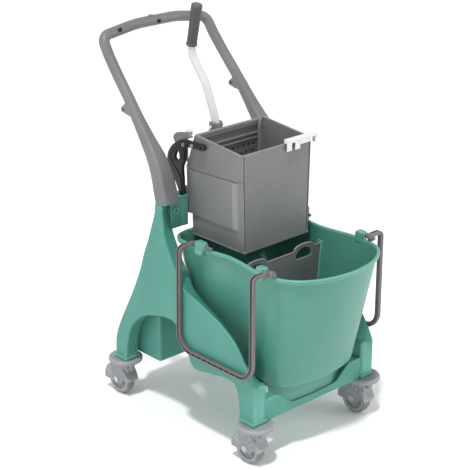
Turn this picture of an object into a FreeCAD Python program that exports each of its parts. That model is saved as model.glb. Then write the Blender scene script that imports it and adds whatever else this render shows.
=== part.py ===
import FreeCAD, Part
import math
import os
from types import SimpleNamespace
from FreeCAD import Placement, Rotation, Vector

# Janitor's trolley: a two-compartment bucket on a moulded chassis with four swivel casters,
# a push handle, and a lift-off side-press wringer. Millimetres; X to the right, Y to the
# rear (the handle end), Z up, origin on the floor under the middle of the trolley.

SIZES = [
    # casters and bumper rings
    ("track", 360.0), ("front_axis_y", -215.0), ("wheelbase", 474.0),
    ("wheel_diameter", 80.0), ("wheel_width", 24.0), ("tyre_thickness", 7.0), ("trail", 19.0),
    ("axle_diameter", 8.0), ("stem_diameter", 10.0), ("running_gap", 0.05),
    ("ring_diameter", 86.0), ("ring_height", 12.0), ("leg_bottom", 108.0),
    # chassis
    ("frame_outer_x", 200.0), ("frame_depth", 36.0), ("post_top", 559.0),
    ("bar_front_y", -226.0), ("bar_wall", 5.0), ("box_width", 300.0), ("box_front_y", 160.0),
    ("box_wall", 4.0), ("tray_top", 179.7), ("tray_thickness", 10.0), ("tray_width", 260.0),
    ("tray_rear_y", 62.0),
    # bucket
    ("bucket_floor", 180.0), ("rim_top", 473.0), ("rim_height", 11.0), ("bead", 5.0),
    ("bucket_wall", 4.0), ("divider_y", -105.0), ("divider_thickness", 4.0),
    ("divider_top", 435.0), ("grip_rise", 14.0),
    # bucket handles
    ("bail_pivot_x", 161.0), ("bail_pivot_z", 480.0), ("bail_reach", 47.0), ("bail_drop", 253.0),
    ("bail_front_y", -231.0), ("bail_rear_y", 13.0), ("bail_rod", 9.0), ("bail_corner", 42.0),
    # push handle
    ("handle_rod", 26.0), ("handle_top", 904.0), ("handle_rear_y", 333.0), ("handle_crown", 18.0),
    # wringer casing
    ("casing_bottom", 465.0), ("casing_front_z", 702.0), ("casing_rear_z", 717.0),
    ("casing_half_low", 104.0), ("casing_half_high", 110.0), ("casing_front_y", -93.0),
    ("casing_rear_y", 97.0), ("casing_lower_rear_y", 87.0), ("step_z", 516.0),
    ("casing_wall", 4.0), ("panel_thickness", 4.0),
    # press plate and lever
    ("plate_width", 196.0), ("plate_front_y", 74.0), ("plate_thickness", 4.0), ("plate_top", 712.0),
    ("plate_hinge_y", 69.0), ("plate_hinge_z", 480.0), ("plate_pin", 6.0), ("hole_pitch", 17.0),
    ("lever_axis_y", 112.0), ("lever_axis_z", 560.0), ("shaft_diameter", 16.0),
    ("roller_y", 92.5), ("roller_z", 683.0), ("roller_diameter", 20.0), ("cheek", 6.0),
    ("cheek_gap", 16.0), ("lever_rod", 20.0), ("grip_diameter", 27.0), ("grip_length", 104.0),
    # hangers and their pockets
    ("hanger_inner_x", 111.0), ("hanger_thickness", 12.0), ("pocket_clearance", 1.0),
    ("pocket_front_y", 92.0), ("pocket_top", 566.0), ("pocket_bottom", 490.0),
]

S = SimpleNamespace(**dict(SIZES))
doc = FreeCAD.newDocument("mop_bucket_trolley")
sheet = doc.addObject("Spreadsheet::Sheet", "Sizes")
for row, (alias, value) in enumerate(SIZES, start=1):
    sheet.set("A%d" % row, alias)
    sheet.set("B%d" % row, str(value))
    sheet.setAlias("B%d" % row, alias)
doc.recompute()

X, Y, Z = Vector(1, 0, 0), Vector(0, 1, 0), Vector(0, 0, 1)
ALONG = {"X": Rotation(Z, X), "Y": Rotation(Z, Y), "Z": Rotation()}
NODES = []


def node(obj, name):
    """Name an object as a finished piece of the trolley."""
    obj.Label = name
    NODES.append(obj)
    return obj


def place(obj, at, turn=None):
    """Put an object at a point whose coordinates are numbers or formulas on the sheet."""
    obj.Placement = Placement(Vector(), turn or Rotation())
    for axis, value in zip("xyz", at):
        if isinstance(value, str):
            obj.setExpression("Placement.Base." + axis, value)
        else:
            setattr(obj.Placement.Base, axis, value)
            obj.setExpression("Placement.Base." + axis, repr(float(value)))
    return obj


def sized(obj, **sizes):
    """Set each named size from a number or from a formula on the sheet."""
    for name, value in sizes.items():
        if isinstance(value, str):
            obj.setExpression(name, value)
        else:
            setattr(obj, name, value)
    return obj


def box(at, length, width, height):
    return place(sized(doc.addObject("Part::Box", "block"), Length=length, Width=width,
                       Height=height), at)


def span(low, high):
    """A block between two corners given in millimetres."""
    return box(low, *[top - bottom for bottom, top in zip(low, high)])


def rod(at, radius, length, along="Z"):
    """A round bar that starts at a point and runs along one axis."""
    return place(sized(doc.addObject("Part::Cylinder", "rod"), Radius=radius, Height=length),
                 at, ALONG[along])


def fuse(*shapes):
    joined = doc.addObject("Part::MultiFuse", "joined")
    joined.Shapes = list(shapes)
    return joined


def cut(base, *tools):
    """Take one or more tools out of a base."""
    pierced = doc.addObject("Part::Cut", "pierced")
    pierced.Base = base
    pierced.Tool = tools[0] if len(tools) == 1 else fuse(*tools)
    return pierced


def common(base, tool):
    shared = doc.addObject("Part::Common", "shared")
    shared.Base = base
    shared.Tool = tool
    return shared


def mirrored(obj):
    """The same piece for the other side of the trolley."""
    twin = doc.addObject("Part::Mirroring", "twin")
    twin.Source = obj
    twin.Normal = X
    return twin


def fixed(shape):
    held = doc.addObject("Part::Feature", "formed")
    held.Shape = shape
    return held


def outline(start, *steps):
    """Closed run of sketch edges: a step is a corner, or a list of points on a smooth curve."""
    here = start
    edges = []
    for step in steps:
        if isinstance(step, list):
            curve = Part.BSplineCurve()
            curve.interpolate([Vector(*here, 0)] + [Vector(*point, 0) for point in step])
            edges.append(curve)
            here = step[-1]
        else:
            edges.append(Part.LineSegment(Vector(*here, 0), Vector(*step, 0)))
            here = step
    return edges


def profile_body(name, plane, start, length, *outlines):
    """A PartDesign body: closed outlines on an origin plane, padded by a length."""
    body = doc.addObject("PartDesign::Body", name)
    base = [item for item in body.Origin.OriginFeatures if item.Role == plane + "_Plane"][0]
    sketch = body.newObject("Sketcher::SketchObject", name + "_outline")
    sketch.AttachmentSupport = [(base, "")]
    sketch.MapMode = "FlatFace"
    sketch.AttachmentOffset = Placement(Vector(0, 0, 0), Rotation())
    if isinstance(start, str):
        sketch.setExpression("AttachmentOffset.Base.z", start)
    else:
        sketch.AttachmentOffset = Placement(Vector(0, 0, start), Rotation())
    for edges in outlines:
        sketch.addGeometry(edges, False)
    pad = body.newObject("PartDesign::Pad", name + "_pad")
    pad.Profile = sketch
    sized(pad, Length=length)
    return body


def turned_body(name, points, at, along):
    """A PartDesign body turned from a half outline of (radius, height) about its own Z axis."""
    body = doc.addObject("PartDesign::Body", name)
    base = [item for item in body.Origin.OriginFeatures if item.Role == "XZ_Plane"][0]
    sketch = body.newObject("Sketcher::SketchObject", name + "_outline")
    sketch.AttachmentSupport = [(base, "")]
    sketch.MapMode = "FlatFace"
    sketch.addGeometry(outline(points[0], *(points[1:] + [points[0]])), False)
    turn = body.newObject("PartDesign::Revolution", name + "_turn")
    turn.Profile = sketch
    turn.ReferenceAxis = (sketch, ["V_Axis"])
    turn.Angle = 360
    return place(body, at, ALONG[along])


def bent_wire(points, bend):
    """Straight runs through the points, joined by tangent arcs of the given bend radii."""
    places = [Vector(*point) for point in points]
    edges = []
    here = places[0]
    for before, corner, after, radius in zip(places, places[1:], places[2:], bend):
        inward = (before - corner).normalize()
        onward = (after - corner).normalize()
        half = inward.getAngle(onward) / 2
        back = radius / math.tan(half)
        middle = corner + (inward + onward).normalize() * (radius / math.sin(half) - radius)
        edges.append(Part.LineSegment(here, corner + inward * back).toShape())
        edges.append(Part.Arc(corner + inward * back, middle, corner + onward * back).toShape())
        here = corner + onward * back
    edges.append(Part.LineSegment(here, places[-1]).toShape())
    return Part.Wire(edges)


def bent_rod(points, bend, radius):
    """A round rod swept along a bent wire."""
    path = bent_wire(points, bend)
    first, second = Vector(*points[0]), Vector(*points[1])
    section = Part.Wire(Part.makeCircle(radius, first, second - first))
    return fixed(path.makePipeShell([section], True, False))


def loft(lower, upper):
    """A solid between two closed wires."""
    between = doc.addObject("Part::Loft", "lofted")
    between.Sections = [fixed(lower), fixed(upper)]
    between.Solid = True
    between.Ruled = True
    return between


def plan_rectangle(x0, x1, y0, y1, z):
    corners = [Vector(x0, y0, z), Vector(x1, y0, z), Vector(x1, y1, z), Vector(x0, y1, z)]
    return Part.makePolygon(corners + corners[:1])


# ---------------------------------------------------------------- casters
ring_bottom = S.leg_bottom - S.ring_height
housing_top = ring_bottom - 0.5
wheel_radius = S.wheel_diameter / 2
housing_inside = wheel_radius + 1.5
housing_wall = 4.0
housing_half = S.wheel_width / 2 + 1.5 + housing_wall
stem_top = S.leg_bottom + 45


def caster(side, end, x, y):
    """One caster: fork housing with its stem, axle, wheel disc and tyre."""
    tag = "_%s_%s" % (end, side)
    centre_y = y + S.trail
    axle_z = wheel_radius
    shell = rod((x - housing_half, centre_y, axle_z), housing_inside + housing_wall,
                2 * housing_half, "X")
    neck = rod((x, y, axle_z + 30), 18.0, housing_top - axle_z - 30)
    stem = rod((x, y, housing_top - 8), "Sizes.stem_diameter / 2", stem_top - housing_top + 8)
    well = rod((x - S.wheel_width / 2 - 1.5, centre_y, axle_z), housing_inside,
               S.wheel_width + 3, "X")
    below = span((x - 40, centre_y - 80, -20), (x + 40, centre_y + 80, axle_z - 9))
    front = span((x - 40, centre_y - 80, -20), (x + 40, centre_y - 27, axle_z + 4))
    axle_hole = rod((x - 30, centre_y, axle_z), "Sizes.axle_diameter / 2", 60.0, "X")
    lug = span((x - 7, y - 29, 78), (x + 7, y - 12, 93))
    outer = cut(fuse(shell, neck, lug), well, below, front, axle_hole)
    node(fuse(outer, stem), "caster_housing" + tag)

    head = 2.0
    axle = fuse(rod((x - housing_half, centre_y, axle_z), "Sizes.axle_diameter / 2",
                    2 * housing_half, "X"),
                rod((x - housing_half - head, centre_y, axle_z), 6.0, head, "X"),
                rod((x + housing_half, centre_y, axle_z), 6.0, head, "X"))
    node(axle, "caster_axle" + tag)

    half = S.wheel_width / 2
    bore = S.axle_diameter / 2 + S.running_gap
    rim_radius = wheel_radius - S.tyre_thickness
    disc = [(bore, -half), (12, -half), (12, -half + 4), (rim_radius - 4, -half + 4),
            (rim_radius - 4, -half + 1), (rim_radius, -half + 1), (rim_radius, half - 1),
            (rim_radius - 4, half - 1), (rim_radius - 4, half - 4), (12, half - 4), (12, half),
            (bore, half)]
    node(turned_body("wheel" + tag, disc, (x, centre_y, axle_z), "X"), "caster_wheel" + tag)
    tread = [(rim_radius, -half + 1), (wheel_radius - 3, -half + 1), (wheel_radius, -half + 4),
             (wheel_radius, half - 4), (wheel_radius - 3, half - 1), (rim_radius, half - 1)]
    node(turned_body("tyre" + tag, tread, (x, centre_y, axle_z), "X"), "caster_tyre" + tag)

    edge = 4.0
    radius = S.ring_diameter / 2
    hole = S.stem_diameter / 2 + 1
    bumper = [(hole, 0), (radius - edge, 0), (radius, edge), (radius, S.ring_height - edge),
              (radius - edge, S.ring_height), (hole, S.ring_height)]
    node(turned_body("bumper" + tag, bumper, (x, y, ring_bottom), "Z"), "bumper_ring" + tag)


rear_axis_y = S.front_axis_y + S.wheelbase
for side_name, side_x in (("left", -S.track / 2), ("right", S.track / 2)):
    for end_name, end_y in (("front", S.front_axis_y), ("rear", rear_axis_y)):
        caster(side_name, end_name, side_x, end_y)

# ---------------------------------------------------------------- side frames
inner_x = S.frame_outer_x - S.frame_depth
rear_leg_back = rear_axis_y + 15
rear_leg_front = rear_axis_y - 27
front_leg_back = S.front_axis_y + 35
front_leg_front = S.front_axis_y - 13
top = S.post_top
base_z = S.leg_bottom

side_outline = outline(
    (108, top),
    [(113, top - 28), (137, top - 98), (153, top - 136), (170, 374), (203, 303), (250, 215),
     (269, 167), (rear_leg_back, base_z)],
    (rear_leg_front, base_z),
    [(226, 155), (212, 201), (191, 230), (160, 254), (125, 268), (76, 279)],
    [(45, 277), (22, 258), (2, 222), (-12, 184)],
    [(-37, 181), (-61, 186), (-100, 192), (-134, 200), (-158, 196), (-171, 183),
     (front_leg_back, base_z)],
    (front_leg_front, base_z),
    (front_leg_front, 198),
    [(-213, 228), (-193, 257), (-167, 295), (-117, 328), (-49, 355), (7, 374), (44, 424),
     (70, 470)],
    [(79, top - 50), (84, top)],
    (108, top))
slab = profile_body("side_slab", "YZ", "-Sizes.frame_outer_x", "Sizes.frame_depth", side_outline)
stem_hole_radius = S.stem_diameter / 2 + S.running_gap
front_foot = span((-S.frame_outer_x - 2, front_leg_front, base_z),
                  (-inner_x + 6, front_leg_back, 190))
rear_foot = span((-S.frame_outer_x - 2, rear_leg_front, base_z),
                 (-inner_x + 6, rear_leg_back, 165))
stem_holes = [rod((-S.track / 2, y, base_z - 1), stem_hole_radius, stem_top - base_z + 2)
              for y in (S.front_axis_y, rear_axis_y)]
lamp_nub = rod((-S.frame_outer_x + 6, 153, 423), 6.0, 20.0, "X")
side_left = cut(fuse(slab, front_foot, rear_foot, lamp_nub), *stem_holes)
node(side_left, "side_frame_left")
node(mirrored(side_left), "side_frame_right")

# ---------------------------------------------------------------- cross members and tray
bar_half = inner_x - 6
dip_half = 75.0
ramp = 43.0
bar_outline = outline(
    (-bar_half, base_z), (bar_half, base_z), (bar_half, 163), (dip_half + ramp, 163),
    [(dip_half + ramp / 2, 146), (dip_half, 129), (0, 126), (-dip_half, 129),
     (-dip_half - ramp / 2, 146), (-dip_half - ramp, 163)],
    (-bar_half, 163), (-bar_half, base_z))
bar = profile_body("bar_plate", "XZ", "-Sizes.bar_front_y - Sizes.bar_wall", "Sizes.bar_wall",
                   bar_outline)
bar_back = S.bar_front_y + S.bar_wall
tray_bottom = S.tray_top - S.tray_thickness
tray_front = -186.0
ledge = profile_body("bar_ledge", "YZ", -118.0, 236.0, outline(
    (bar_back - 1, 114), (tray_front, tray_bottom), (tray_front, S.tray_top),
    (bar_back - 1, 124), (bar_back - 1, 114)))
node(fuse(bar, ledge), "front_crossbar")

tray = box(("-Sizes.tray_width / 2", tray_front, "Sizes.tray_top - Sizes.tray_thickness"),
           "Sizes.tray_width", S.tray_rear_y - tray_front, "Sizes.tray_thickness")
wing_top = 225.0
wings = []
for side in (-1, 1):
    x0, x1 = sorted((side * (inner_x - 8), side * inner_x))
    wings.append(span((x0, -165, tray_bottom), (x1, -20, wing_top)))
    x0, x1 = sorted((side * (S.tray_width / 2 - 1), side * (inner_x - 7)))
    wings.append(span((x0, -165, tray_bottom), (x1, -20, S.tray_top)))
node(fuse(tray, *wings), "base_tray")

box_half = S.box_width / 2
box_back = rear_axis_y - 4
box_top = 268.0
wall = S.box_wall
chest = span((-box_half, S.box_front_y, base_z + 4), (box_half, box_back, box_top))
hollow = span((-box_half + wall, S.box_front_y + wall, base_z),
              (box_half - wall, box_back - wall, box_top - wall))
shelf = span((-inner_x, S.box_front_y, box_top - 8), (inner_x, S.box_front_y + 24, box_top))
node(cut(fuse(chest, shelf), hollow), "rear_box")

# ---------------------------------------------------------------- push handle
handle_r = S.handle_rod / 2
corner_x = S.track / 2 - 17


def handle_bow():
    """The top bow: two slanting legs and an arched cross bar."""
    crown = S.handle_top + S.handle_crown
    runs = [(-171, 212, 756), (-corner_x, S.handle_rear_y, S.handle_top + 3),
            (-60, S.handle_rear_y - 1, crown), (60, S.handle_rear_y - 1, crown),
            (corner_x, S.handle_rear_y, S.handle_top + 3), (171, 212, 756)]
    return bent_rod(runs, [24, 260, 260, 24], handle_r)


def leg_section(x, y, z, across, along):
    return plan_rectangle(x - across / 2, x + across / 2, y - along / 2, y + along / 2, z)


left_leg = loft(leg_section(-182, 92, S.post_top, 36, 40),
                leg_section(-180, 144, 670, 31, 44))
left_leg_high = loft(leg_section(-180, 144, 670, 31, 44), leg_section(-171, 208, 754, 27, 34))
hook = fuse(rod((-178, 243, 752), 8.0, 14.0, "X"), rod((-178, 232, 759), 9.0, 14.0, "X"))
hook_hole = rod((-190, 244, 751.5), 3.0, 40.0, "X")
leg_left = fuse(left_leg, left_leg_high, hook)
screw_spots = [(-120, S.handle_top + 16), (0, S.handle_top + S.handle_crown),
               (120, S.handle_top + 16)]
bow_front = S.handle_rear_y - 1 - handle_r
screw_holes = [rod((x, bow_front - 6, z), 3.0, 14.0, "Y") for x, z in screw_spots]
node(cut(fuse(handle_bow(), leg_left, mirrored(leg_left)), *screw_holes,
         hook_hole, mirrored(hook_hole)), "push_handle")
node(fuse(*[rod((x, bow_front + 3, z), 3.0, 4.0, "Y") for x, z in screw_spots]),
     "handle_screws")

# ---------------------------------------------------------------- hanger pockets
tongue_outer = S.hanger_inner_x + 1 + S.hanger_thickness
tongue_low = 502.0


def pocket():
    """Pocket on the inside of the left post that takes the wringer's tongue."""
    gap = S.pocket_clearance
    block = span((-inner_x, S.pocket_front_y, S.pocket_bottom),
                 (-S.hanger_inner_x + 0.5, S.pocket_front_y + 34, S.pocket_top))
    slot = span((-tongue_outer - gap, 97 - gap, tongue_low - 2),
                (-S.hanger_inner_x - 1 + gap, 111 + gap, S.pocket_top + 1))
    bolt_hole = rod((-150, S.pocket_front_y - 1, 534), 4.5, 12.0, "Y")
    return cut(block, slot, bolt_hole)


left_pocket = pocket()
node(left_pocket, "wringer_pocket_left")
node(mirrored(left_pocket), "wringer_pocket_right")
node(fuse(rod((-150, S.pocket_front_y + 2, 534), 4.5, 9.0, "Y"),
          rod((150, S.pocket_front_y + 2, 534), 4.5, 9.0, "Y")), "pocket_bolts")

# ---------------------------------------------------------------- bucket
RIM_PLAN = [(0, 101), (95, 101), (135, 94), (154, 74), (159, 40), (156, -20), (148, -60),
            (145, -94), (148, -130), (156, -180), (157, -225), (148, -268), (120, -302),
            (70, -328), (0, -339)]
FLOOR_PLAN = [(0, 52), (80, 52), (106, 46), (121, 28), (125, 0), (124, -35), (121, -65),
              (120, -94), (121, -125), (125, -160), (127, -195), (121, -225), (100, -243),
              (55, -256), (0, -261)]


def closed_plan(half, outset, z):
    """A closed smooth plan from its right half, moved outwards by a distance."""
    both = half + [(-x, y) for x, y in reversed(half[1:-1])]
    moved = []
    for index, (x, y) in enumerate(both):
        before = both[index - 1]
        after = both[(index + 1) % len(both)]
        along = Vector(after[0] - before[0], after[1] - before[1], 0).normalize()
        moved.append(Vector(x - along.y * outset, y + along.x * outset, z))
    curve = Part.BSplineCurve()
    curve.interpolate(Points=moved, PeriodicFlag=True)
    return Part.Wire(curve.toShape())


def plan_between(share, outset, z):
    """The bucket's plan part of the way up from its floor to its rim."""
    half = [(a + (c - a) * share, b + (d - b) * share)
            for (a, b), (c, d) in zip(FLOOR_PLAN, RIM_PLAN)]
    return closed_plan(half, outset, z)


def bucket_loft(outset, low, high):
    depth = S.rim_top - S.bucket_floor
    return loft(plan_between((low - S.bucket_floor) / depth, outset, low),
                plan_between((high - S.bucket_floor) / depth, outset, high))


def rim_bead():
    """Thick rolled edge around the mouth."""
    low = S.rim_top - S.rim_height
    outer = Part.Face(closed_plan(RIM_PLAN, S.bead, low))
    inner = Part.Face(closed_plan(RIM_PLAN, -S.bucket_wall, low - 1))
    return cut(fixed(outer.extrude(Vector(0, 0, S.rim_height))),
               fixed(inner.extrude(Vector(0, 0, S.rim_height + 2))))


guide_gap = 0.5
guide_half = S.divider_thickness / 2 + guide_gap
body_shell = bucket_loft(0.0, S.bucket_floor, S.rim_top)
cavity = bucket_loft(-S.bucket_wall, S.bucket_floor + S.bucket_wall, S.rim_top + 1)
guides = []
for side in (-1, 1):
    for low_y in (S.divider_y - guide_half - 4, S.divider_y + guide_half):
        x0, x1 = sorted((side * 100, side * 150))
        guides.append(span((x0, low_y, S.bucket_floor + 2), (x1, low_y + 4, S.divider_top + 8)))
guide_field = common(fuse(*guides), cut(bucket_loft(-1.0, S.bucket_floor, S.rim_top),
                                        bucket_loft(-12.0, S.bucket_floor + 1, S.rim_top + 1)))
pin_bore = 4.0 + S.running_gap
lugs = []
bores = []
for side in (-1, 1):
    for low_y, high_y in ((S.bail_front_y + 9, S.bail_front_y + 31),
                          (S.bail_rear_y - 35, S.bail_rear_y - 9)):
        x0, x1 = sorted((side * (S.bail_pivot_x - 10), side * (S.bail_pivot_x + 9)))
        lugs.append(span((x0, low_y, S.rim_top - 12), (x1, high_y, S.bail_pivot_z + 9)))
        bores.append(rod((side * S.bail_pivot_x, low_y - 1, S.bail_pivot_z), pin_bore,
                         high_y - low_y + 2, "Y"))
bucket_tub = fuse(cut(body_shell, cavity), rim_bead(), guide_field)
node(cut(fuse(bucket_tub, *lugs), *bores), "bucket")

# divider, with two arched grips and hand holes
divider_low = S.bucket_floor + S.bucket_wall + 1
share_low = (divider_low - S.bucket_floor) / (S.rim_top - S.bucket_floor)
share_top = (S.divider_top - S.bucket_floor) / (S.rim_top - S.bucket_floor)
waist_low = 119.5 + (144.5 - 119.5) * share_low - S.bucket_wall - 1.5
waist_top = 119.5 + (144.5 - 119.5) * share_top - S.bucket_wall - 1.5
grip_x = 78.0
grip_half = 34.0
edge_top = S.divider_top
arch_top = S.divider_top + S.grip_rise


def grip_arch(centre):
    return [(centre + grip_half * 0.7, edge_top + S.grip_rise * 0.75), (centre, arch_top),
            (centre - grip_half * 0.7, edge_top + S.grip_rise * 0.75),
            (centre - grip_half, edge_top)]


def hand_hole(centre):
    reach = grip_half - 8
    return outline((centre - reach, edge_top - 24), (centre + reach, edge_top - 24),
                   [(centre + reach - 3, edge_top - 4), (centre, arch_top - 9),
                    (centre - reach + 3, edge_top - 4), (centre - reach, edge_top - 24)])


divider_outline = outline((-waist_low, divider_low), (waist_low, divider_low),
                          (waist_top, edge_top), (grip_x + grip_half, edge_top),
                          grip_arch(grip_x), (-grip_x + grip_half, edge_top),
                          grip_arch(-grip_x), (-waist_top, edge_top),
                          (-waist_low, divider_low))
divider = profile_body("divider_plate", "XZ", "-Sizes.divider_y - Sizes.divider_thickness / 2",
                       "Sizes.divider_thickness", divider_outline, hand_hole(grip_x),
                       hand_hole(-grip_x))
node(divider, "bucket_divider")


# ---------------------------------------------------------------- bucket handles
def bail():
    """The left bucket handle, hanging outside the side frame, with its two pivot pins."""
    out_x = -S.bail_pivot_x - S.bail_reach
    low_z = S.bail_pivot_z - S.bail_drop
    runs = [(-S.bail_pivot_x - 4, S.bail_rear_y, S.bail_pivot_z),
            (out_x, S.bail_rear_y, S.bail_pivot_z), (out_x, S.bail_rear_y + 5, low_z),
            (out_x, S.bail_front_y, low_z), (out_x, S.bail_front_y, S.bail_pivot_z),
            (-S.bail_pivot_x - 4, S.bail_front_y, S.bail_pivot_z)]
    loop = bent_rod(runs, [12, S.bail_corner, S.bail_corner, 12], S.bail_rod / 2)
    knob = S.bail_rod / 2
    ends = [rod((-S.bail_pivot_x, S.bail_front_y - 5, S.bail_pivot_z), knob + 2, 12.0, "Y"),
            rod((-S.bail_pivot_x, S.bail_rear_y - 7, S.bail_pivot_z), knob + 2, 12.0, "Y"),
            rod((-S.bail_pivot_x, S.bail_front_y, S.bail_pivot_z), 4.0, 28.0, "Y"),
            rod((-S.bail_pivot_x, S.bail_rear_y - 30, S.bail_pivot_z), 4.0, 30.0, "Y")]
    return fuse(loop, *ends)


left_bail = bail()
node(left_bail, "bail_left")
node(mirrored(left_bail), "bail_right")

# ---------------------------------------------------------------- wringer casing
cw = S.casing_wall
shaft_bore = S.shaft_diameter / 2 + S.running_gap


def casing_half(z, inset=0.0):
    """Half the casing's outside width at a height."""
    share = (z - S.casing_bottom) / (S.casing_rear_z - S.casing_bottom)
    return S.casing_half_low + (S.casing_half_high - S.casing_half_low) * share - inset


def casing_block(inset, y0, y1, z0, z1):
    return loft(plan_rectangle(-casing_half(z0, inset), casing_half(z0, inset), y0, y1, z0),
                plan_rectangle(-casing_half(z1, inset), casing_half(z1, inset), y0, y1, z1))


outer_block = casing_block(0.0, S.casing_front_y, S.casing_rear_y, S.casing_bottom,
                           S.casing_rear_z)
inner_block = casing_block(cw, S.casing_front_y - 1, S.casing_lower_rear_y - 3,
                           S.casing_bottom + 3, S.casing_rear_z + 2)
above_step = casing_block(cw, S.casing_lower_rear_y - 4, S.casing_rear_y + 1, S.step_z,
                          S.casing_rear_z + 2)
below_step = span((-130, S.casing_lower_rear_y, S.casing_bottom - 1),
                  (130, S.casing_rear_y + 1, S.step_z))
drain_gap = span((-92, S.casing_front_y + 8, S.casing_bottom - 1),
                 (92, 60, S.casing_bottom + 5))
slope_run = 67 - S.casing_front_y
roof = profile_body("casing_roof", "YZ", -130.0, 260.0, outline(
    (S.casing_front_y - 10, S.casing_front_z - 10 * 15 / slope_run), (67, S.casing_rear_z),
    (67, S.casing_rear_z + 40), (S.casing_front_y - 10, S.casing_rear_z + 40),
    (S.casing_front_y - 10, S.casing_front_z - 10 * 15 / slope_run)))
rear_notch = profile_body("rear_notch", "YZ", 0.0, 130.0, outline(
    (67, S.casing_rear_z + 1), (S.casing_rear_y + 1, 640), (S.casing_rear_y + 1, 760),
    (67, 760), (67, S.casing_rear_z + 1)))
shell = cut(outer_block, inner_block, above_step, below_step, drain_gap, roof, rear_notch)

ears = []
for side in (-1, 1):
    low, high = sorted((side * (casing_half(560) - 12), side * (casing_half(560) - 0.5)))
    ears.append(span((low, S.casing_rear_y - 8, 541), (high, 130, 579)))
horn = profile_body("left_horn", "YZ", -S.casing_half_high + 0.5, cw, outline(
    (S.casing_rear_y - 3, 640), (140, 684), (144, 698), (118, 712), (S.casing_rear_y - 3, 716),
    (S.casing_rear_y - 3, 640)))
horn_flange = span((-S.casing_half_high + 3, 100, 697), (-84, 143, 700))
flange_in = S.plate_width / 2 + 1.5
back_flange = span((flange_in, 63, 690), (casing_half(700) - 1, 67, 716))
hinge_blocks = [span((min(side * 88, side * 103), S.plate_hinge_y - 8, S.casing_bottom),
                     (max(side * 88, side * 103), S.casing_lower_rear_y - 2,
                      S.plate_hinge_z + 7)) for side in (-1, 1)]
casing_whole = fuse(shell, horn, horn_flange, back_flange, *ears)
hinge_bore = rod((-98, S.plate_hinge_y, S.plate_hinge_z), "Sizes.plate_pin / 2", 196.0, "X")
shaft_hole = rod((-104, S.lever_axis_y, S.lever_axis_z), shaft_bore, 208.0, "X")
node(cut(fuse(casing_whole, *hinge_blocks), hinge_bore, shaft_hole), "wringer_casing")

# front panel, closing the front between the side walls
panel_half_low = S.casing_half_low - 0.5
panel_half_top = casing_half(S.casing_front_z) - 0.5
panel = profile_body("front_plate", "XZ", "-Sizes.casing_front_y", "Sizes.panel_thickness",
                     outline((-panel_half_low, S.casing_bottom), (panel_half_low, S.casing_bottom),
                             (panel_half_top, S.casing_front_z),
                             (-panel_half_top, S.casing_front_z),
                             (-panel_half_low, S.casing_bottom)))
node(panel, "front_panel")

# drain grid on the casing's floor
grid_top = S.casing_bottom + 6
grid = span((-99, S.casing_front_y + 1, S.casing_bottom + 3), (99, 60, grid_top))
slots = []
for column in range(8):
    for row_index in range(3):
        x = -87 + column * 23
        y = S.casing_front_y + 14 + row_index * 46
        slots.append(span((x, y, S.casing_bottom), (x + 12, y + 36, grid_top + 1)))
node(cut(grid, *slots), "drain_grid")


# ---------------------------------------------------------------- hangers
def hanger_plate(name, *outlines):
    return profile_body(name, "YZ", "-Sizes.hanger_inner_x - 1 - Sizes.hanger_thickness",
                        "Sizes.hanger_thickness", *outlines)


left_outline = outline(
    (97, tongue_low), (111, tongue_low), (111, 566),
    [(126, 593), (143, 616), (153, 636), (150, 658), (135, 679), (109, 696), (85, 702),
     (53, 702), (29, 703)],
    [(21, 695), (30, 687)],
    [(64, 687), (84, 682), (92, 668), (93, 646)],
    [(99, 630), (97, 603)], (97, tongue_low))
window = outline((103, 655), [(107, 675), (116, 678), (126, 664), (131, 646), (122, 640),
                              (110, 644), (103, 655)])
hanger_left = hanger_plate("hanger_horn", left_outline, window)
bracket_outline = outline((97, tongue_low), (111, tongue_low), (111, 600), (96, 640), (74, 640),
                          (74, 606), (97, 590), (97, tongue_low))
hanger_right = mirrored(hanger_plate("hanger_bracket", bracket_outline))
node(hanger_left, "hanger_left")
node(hanger_right, "hanger_right")


# each hanger is bolted through to the casing's side wall
def hanger_bolt(side, y, z):
    wall_x = casing_half(z) + 0.3
    outer = S.hanger_inner_x + 1 + S.hanger_thickness
    start = side * wall_x
    return rod((min(start, side * (S.hanger_inner_x + 1)), y, z), 6.0,
               abs(S.hanger_inner_x + 1 - wall_x), "X"), \
        rod((min(side * outer, side * (outer + 3)), y, z), 5.0, 3.0, "X")


bolt_parts = []
for side, y, z in ((-1, 60, 694), (-1, 90, 690), (1, 84, 628), (1, 84, 616)):
    bolt_parts.extend(hanger_bolt(side, y, z))
node(fuse(*bolt_parts), "hanger_bolts")

# ---------------------------------------------------------------- rim clip
clip_block = span((24, S.casing_front_y - 8, 684), (103, S.casing_front_y + 5, 713))
clip_slot = span((20, S.casing_front_y - S.panel_thickness, 680), (112, S.casing_front_y, 702))
prong_gap = span((40, S.casing_front_y - 9, 683), (50, S.casing_front_y - 3, 692))
trim = span((66, S.casing_front_y - 9, 683), (112, S.casing_front_y - 3, 694))
hook_arm = span((100, S.casing_front_y - 7, 703), (122, S.casing_front_y + 4, 713))
hook_tip = span((116, S.casing_front_y - 7, 688), (122, S.casing_front_y + 4, 704))
node(cut(fuse(clip_block, hook_arm, hook_tip), clip_slot, prong_gap, trim), "rim_clip")

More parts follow.
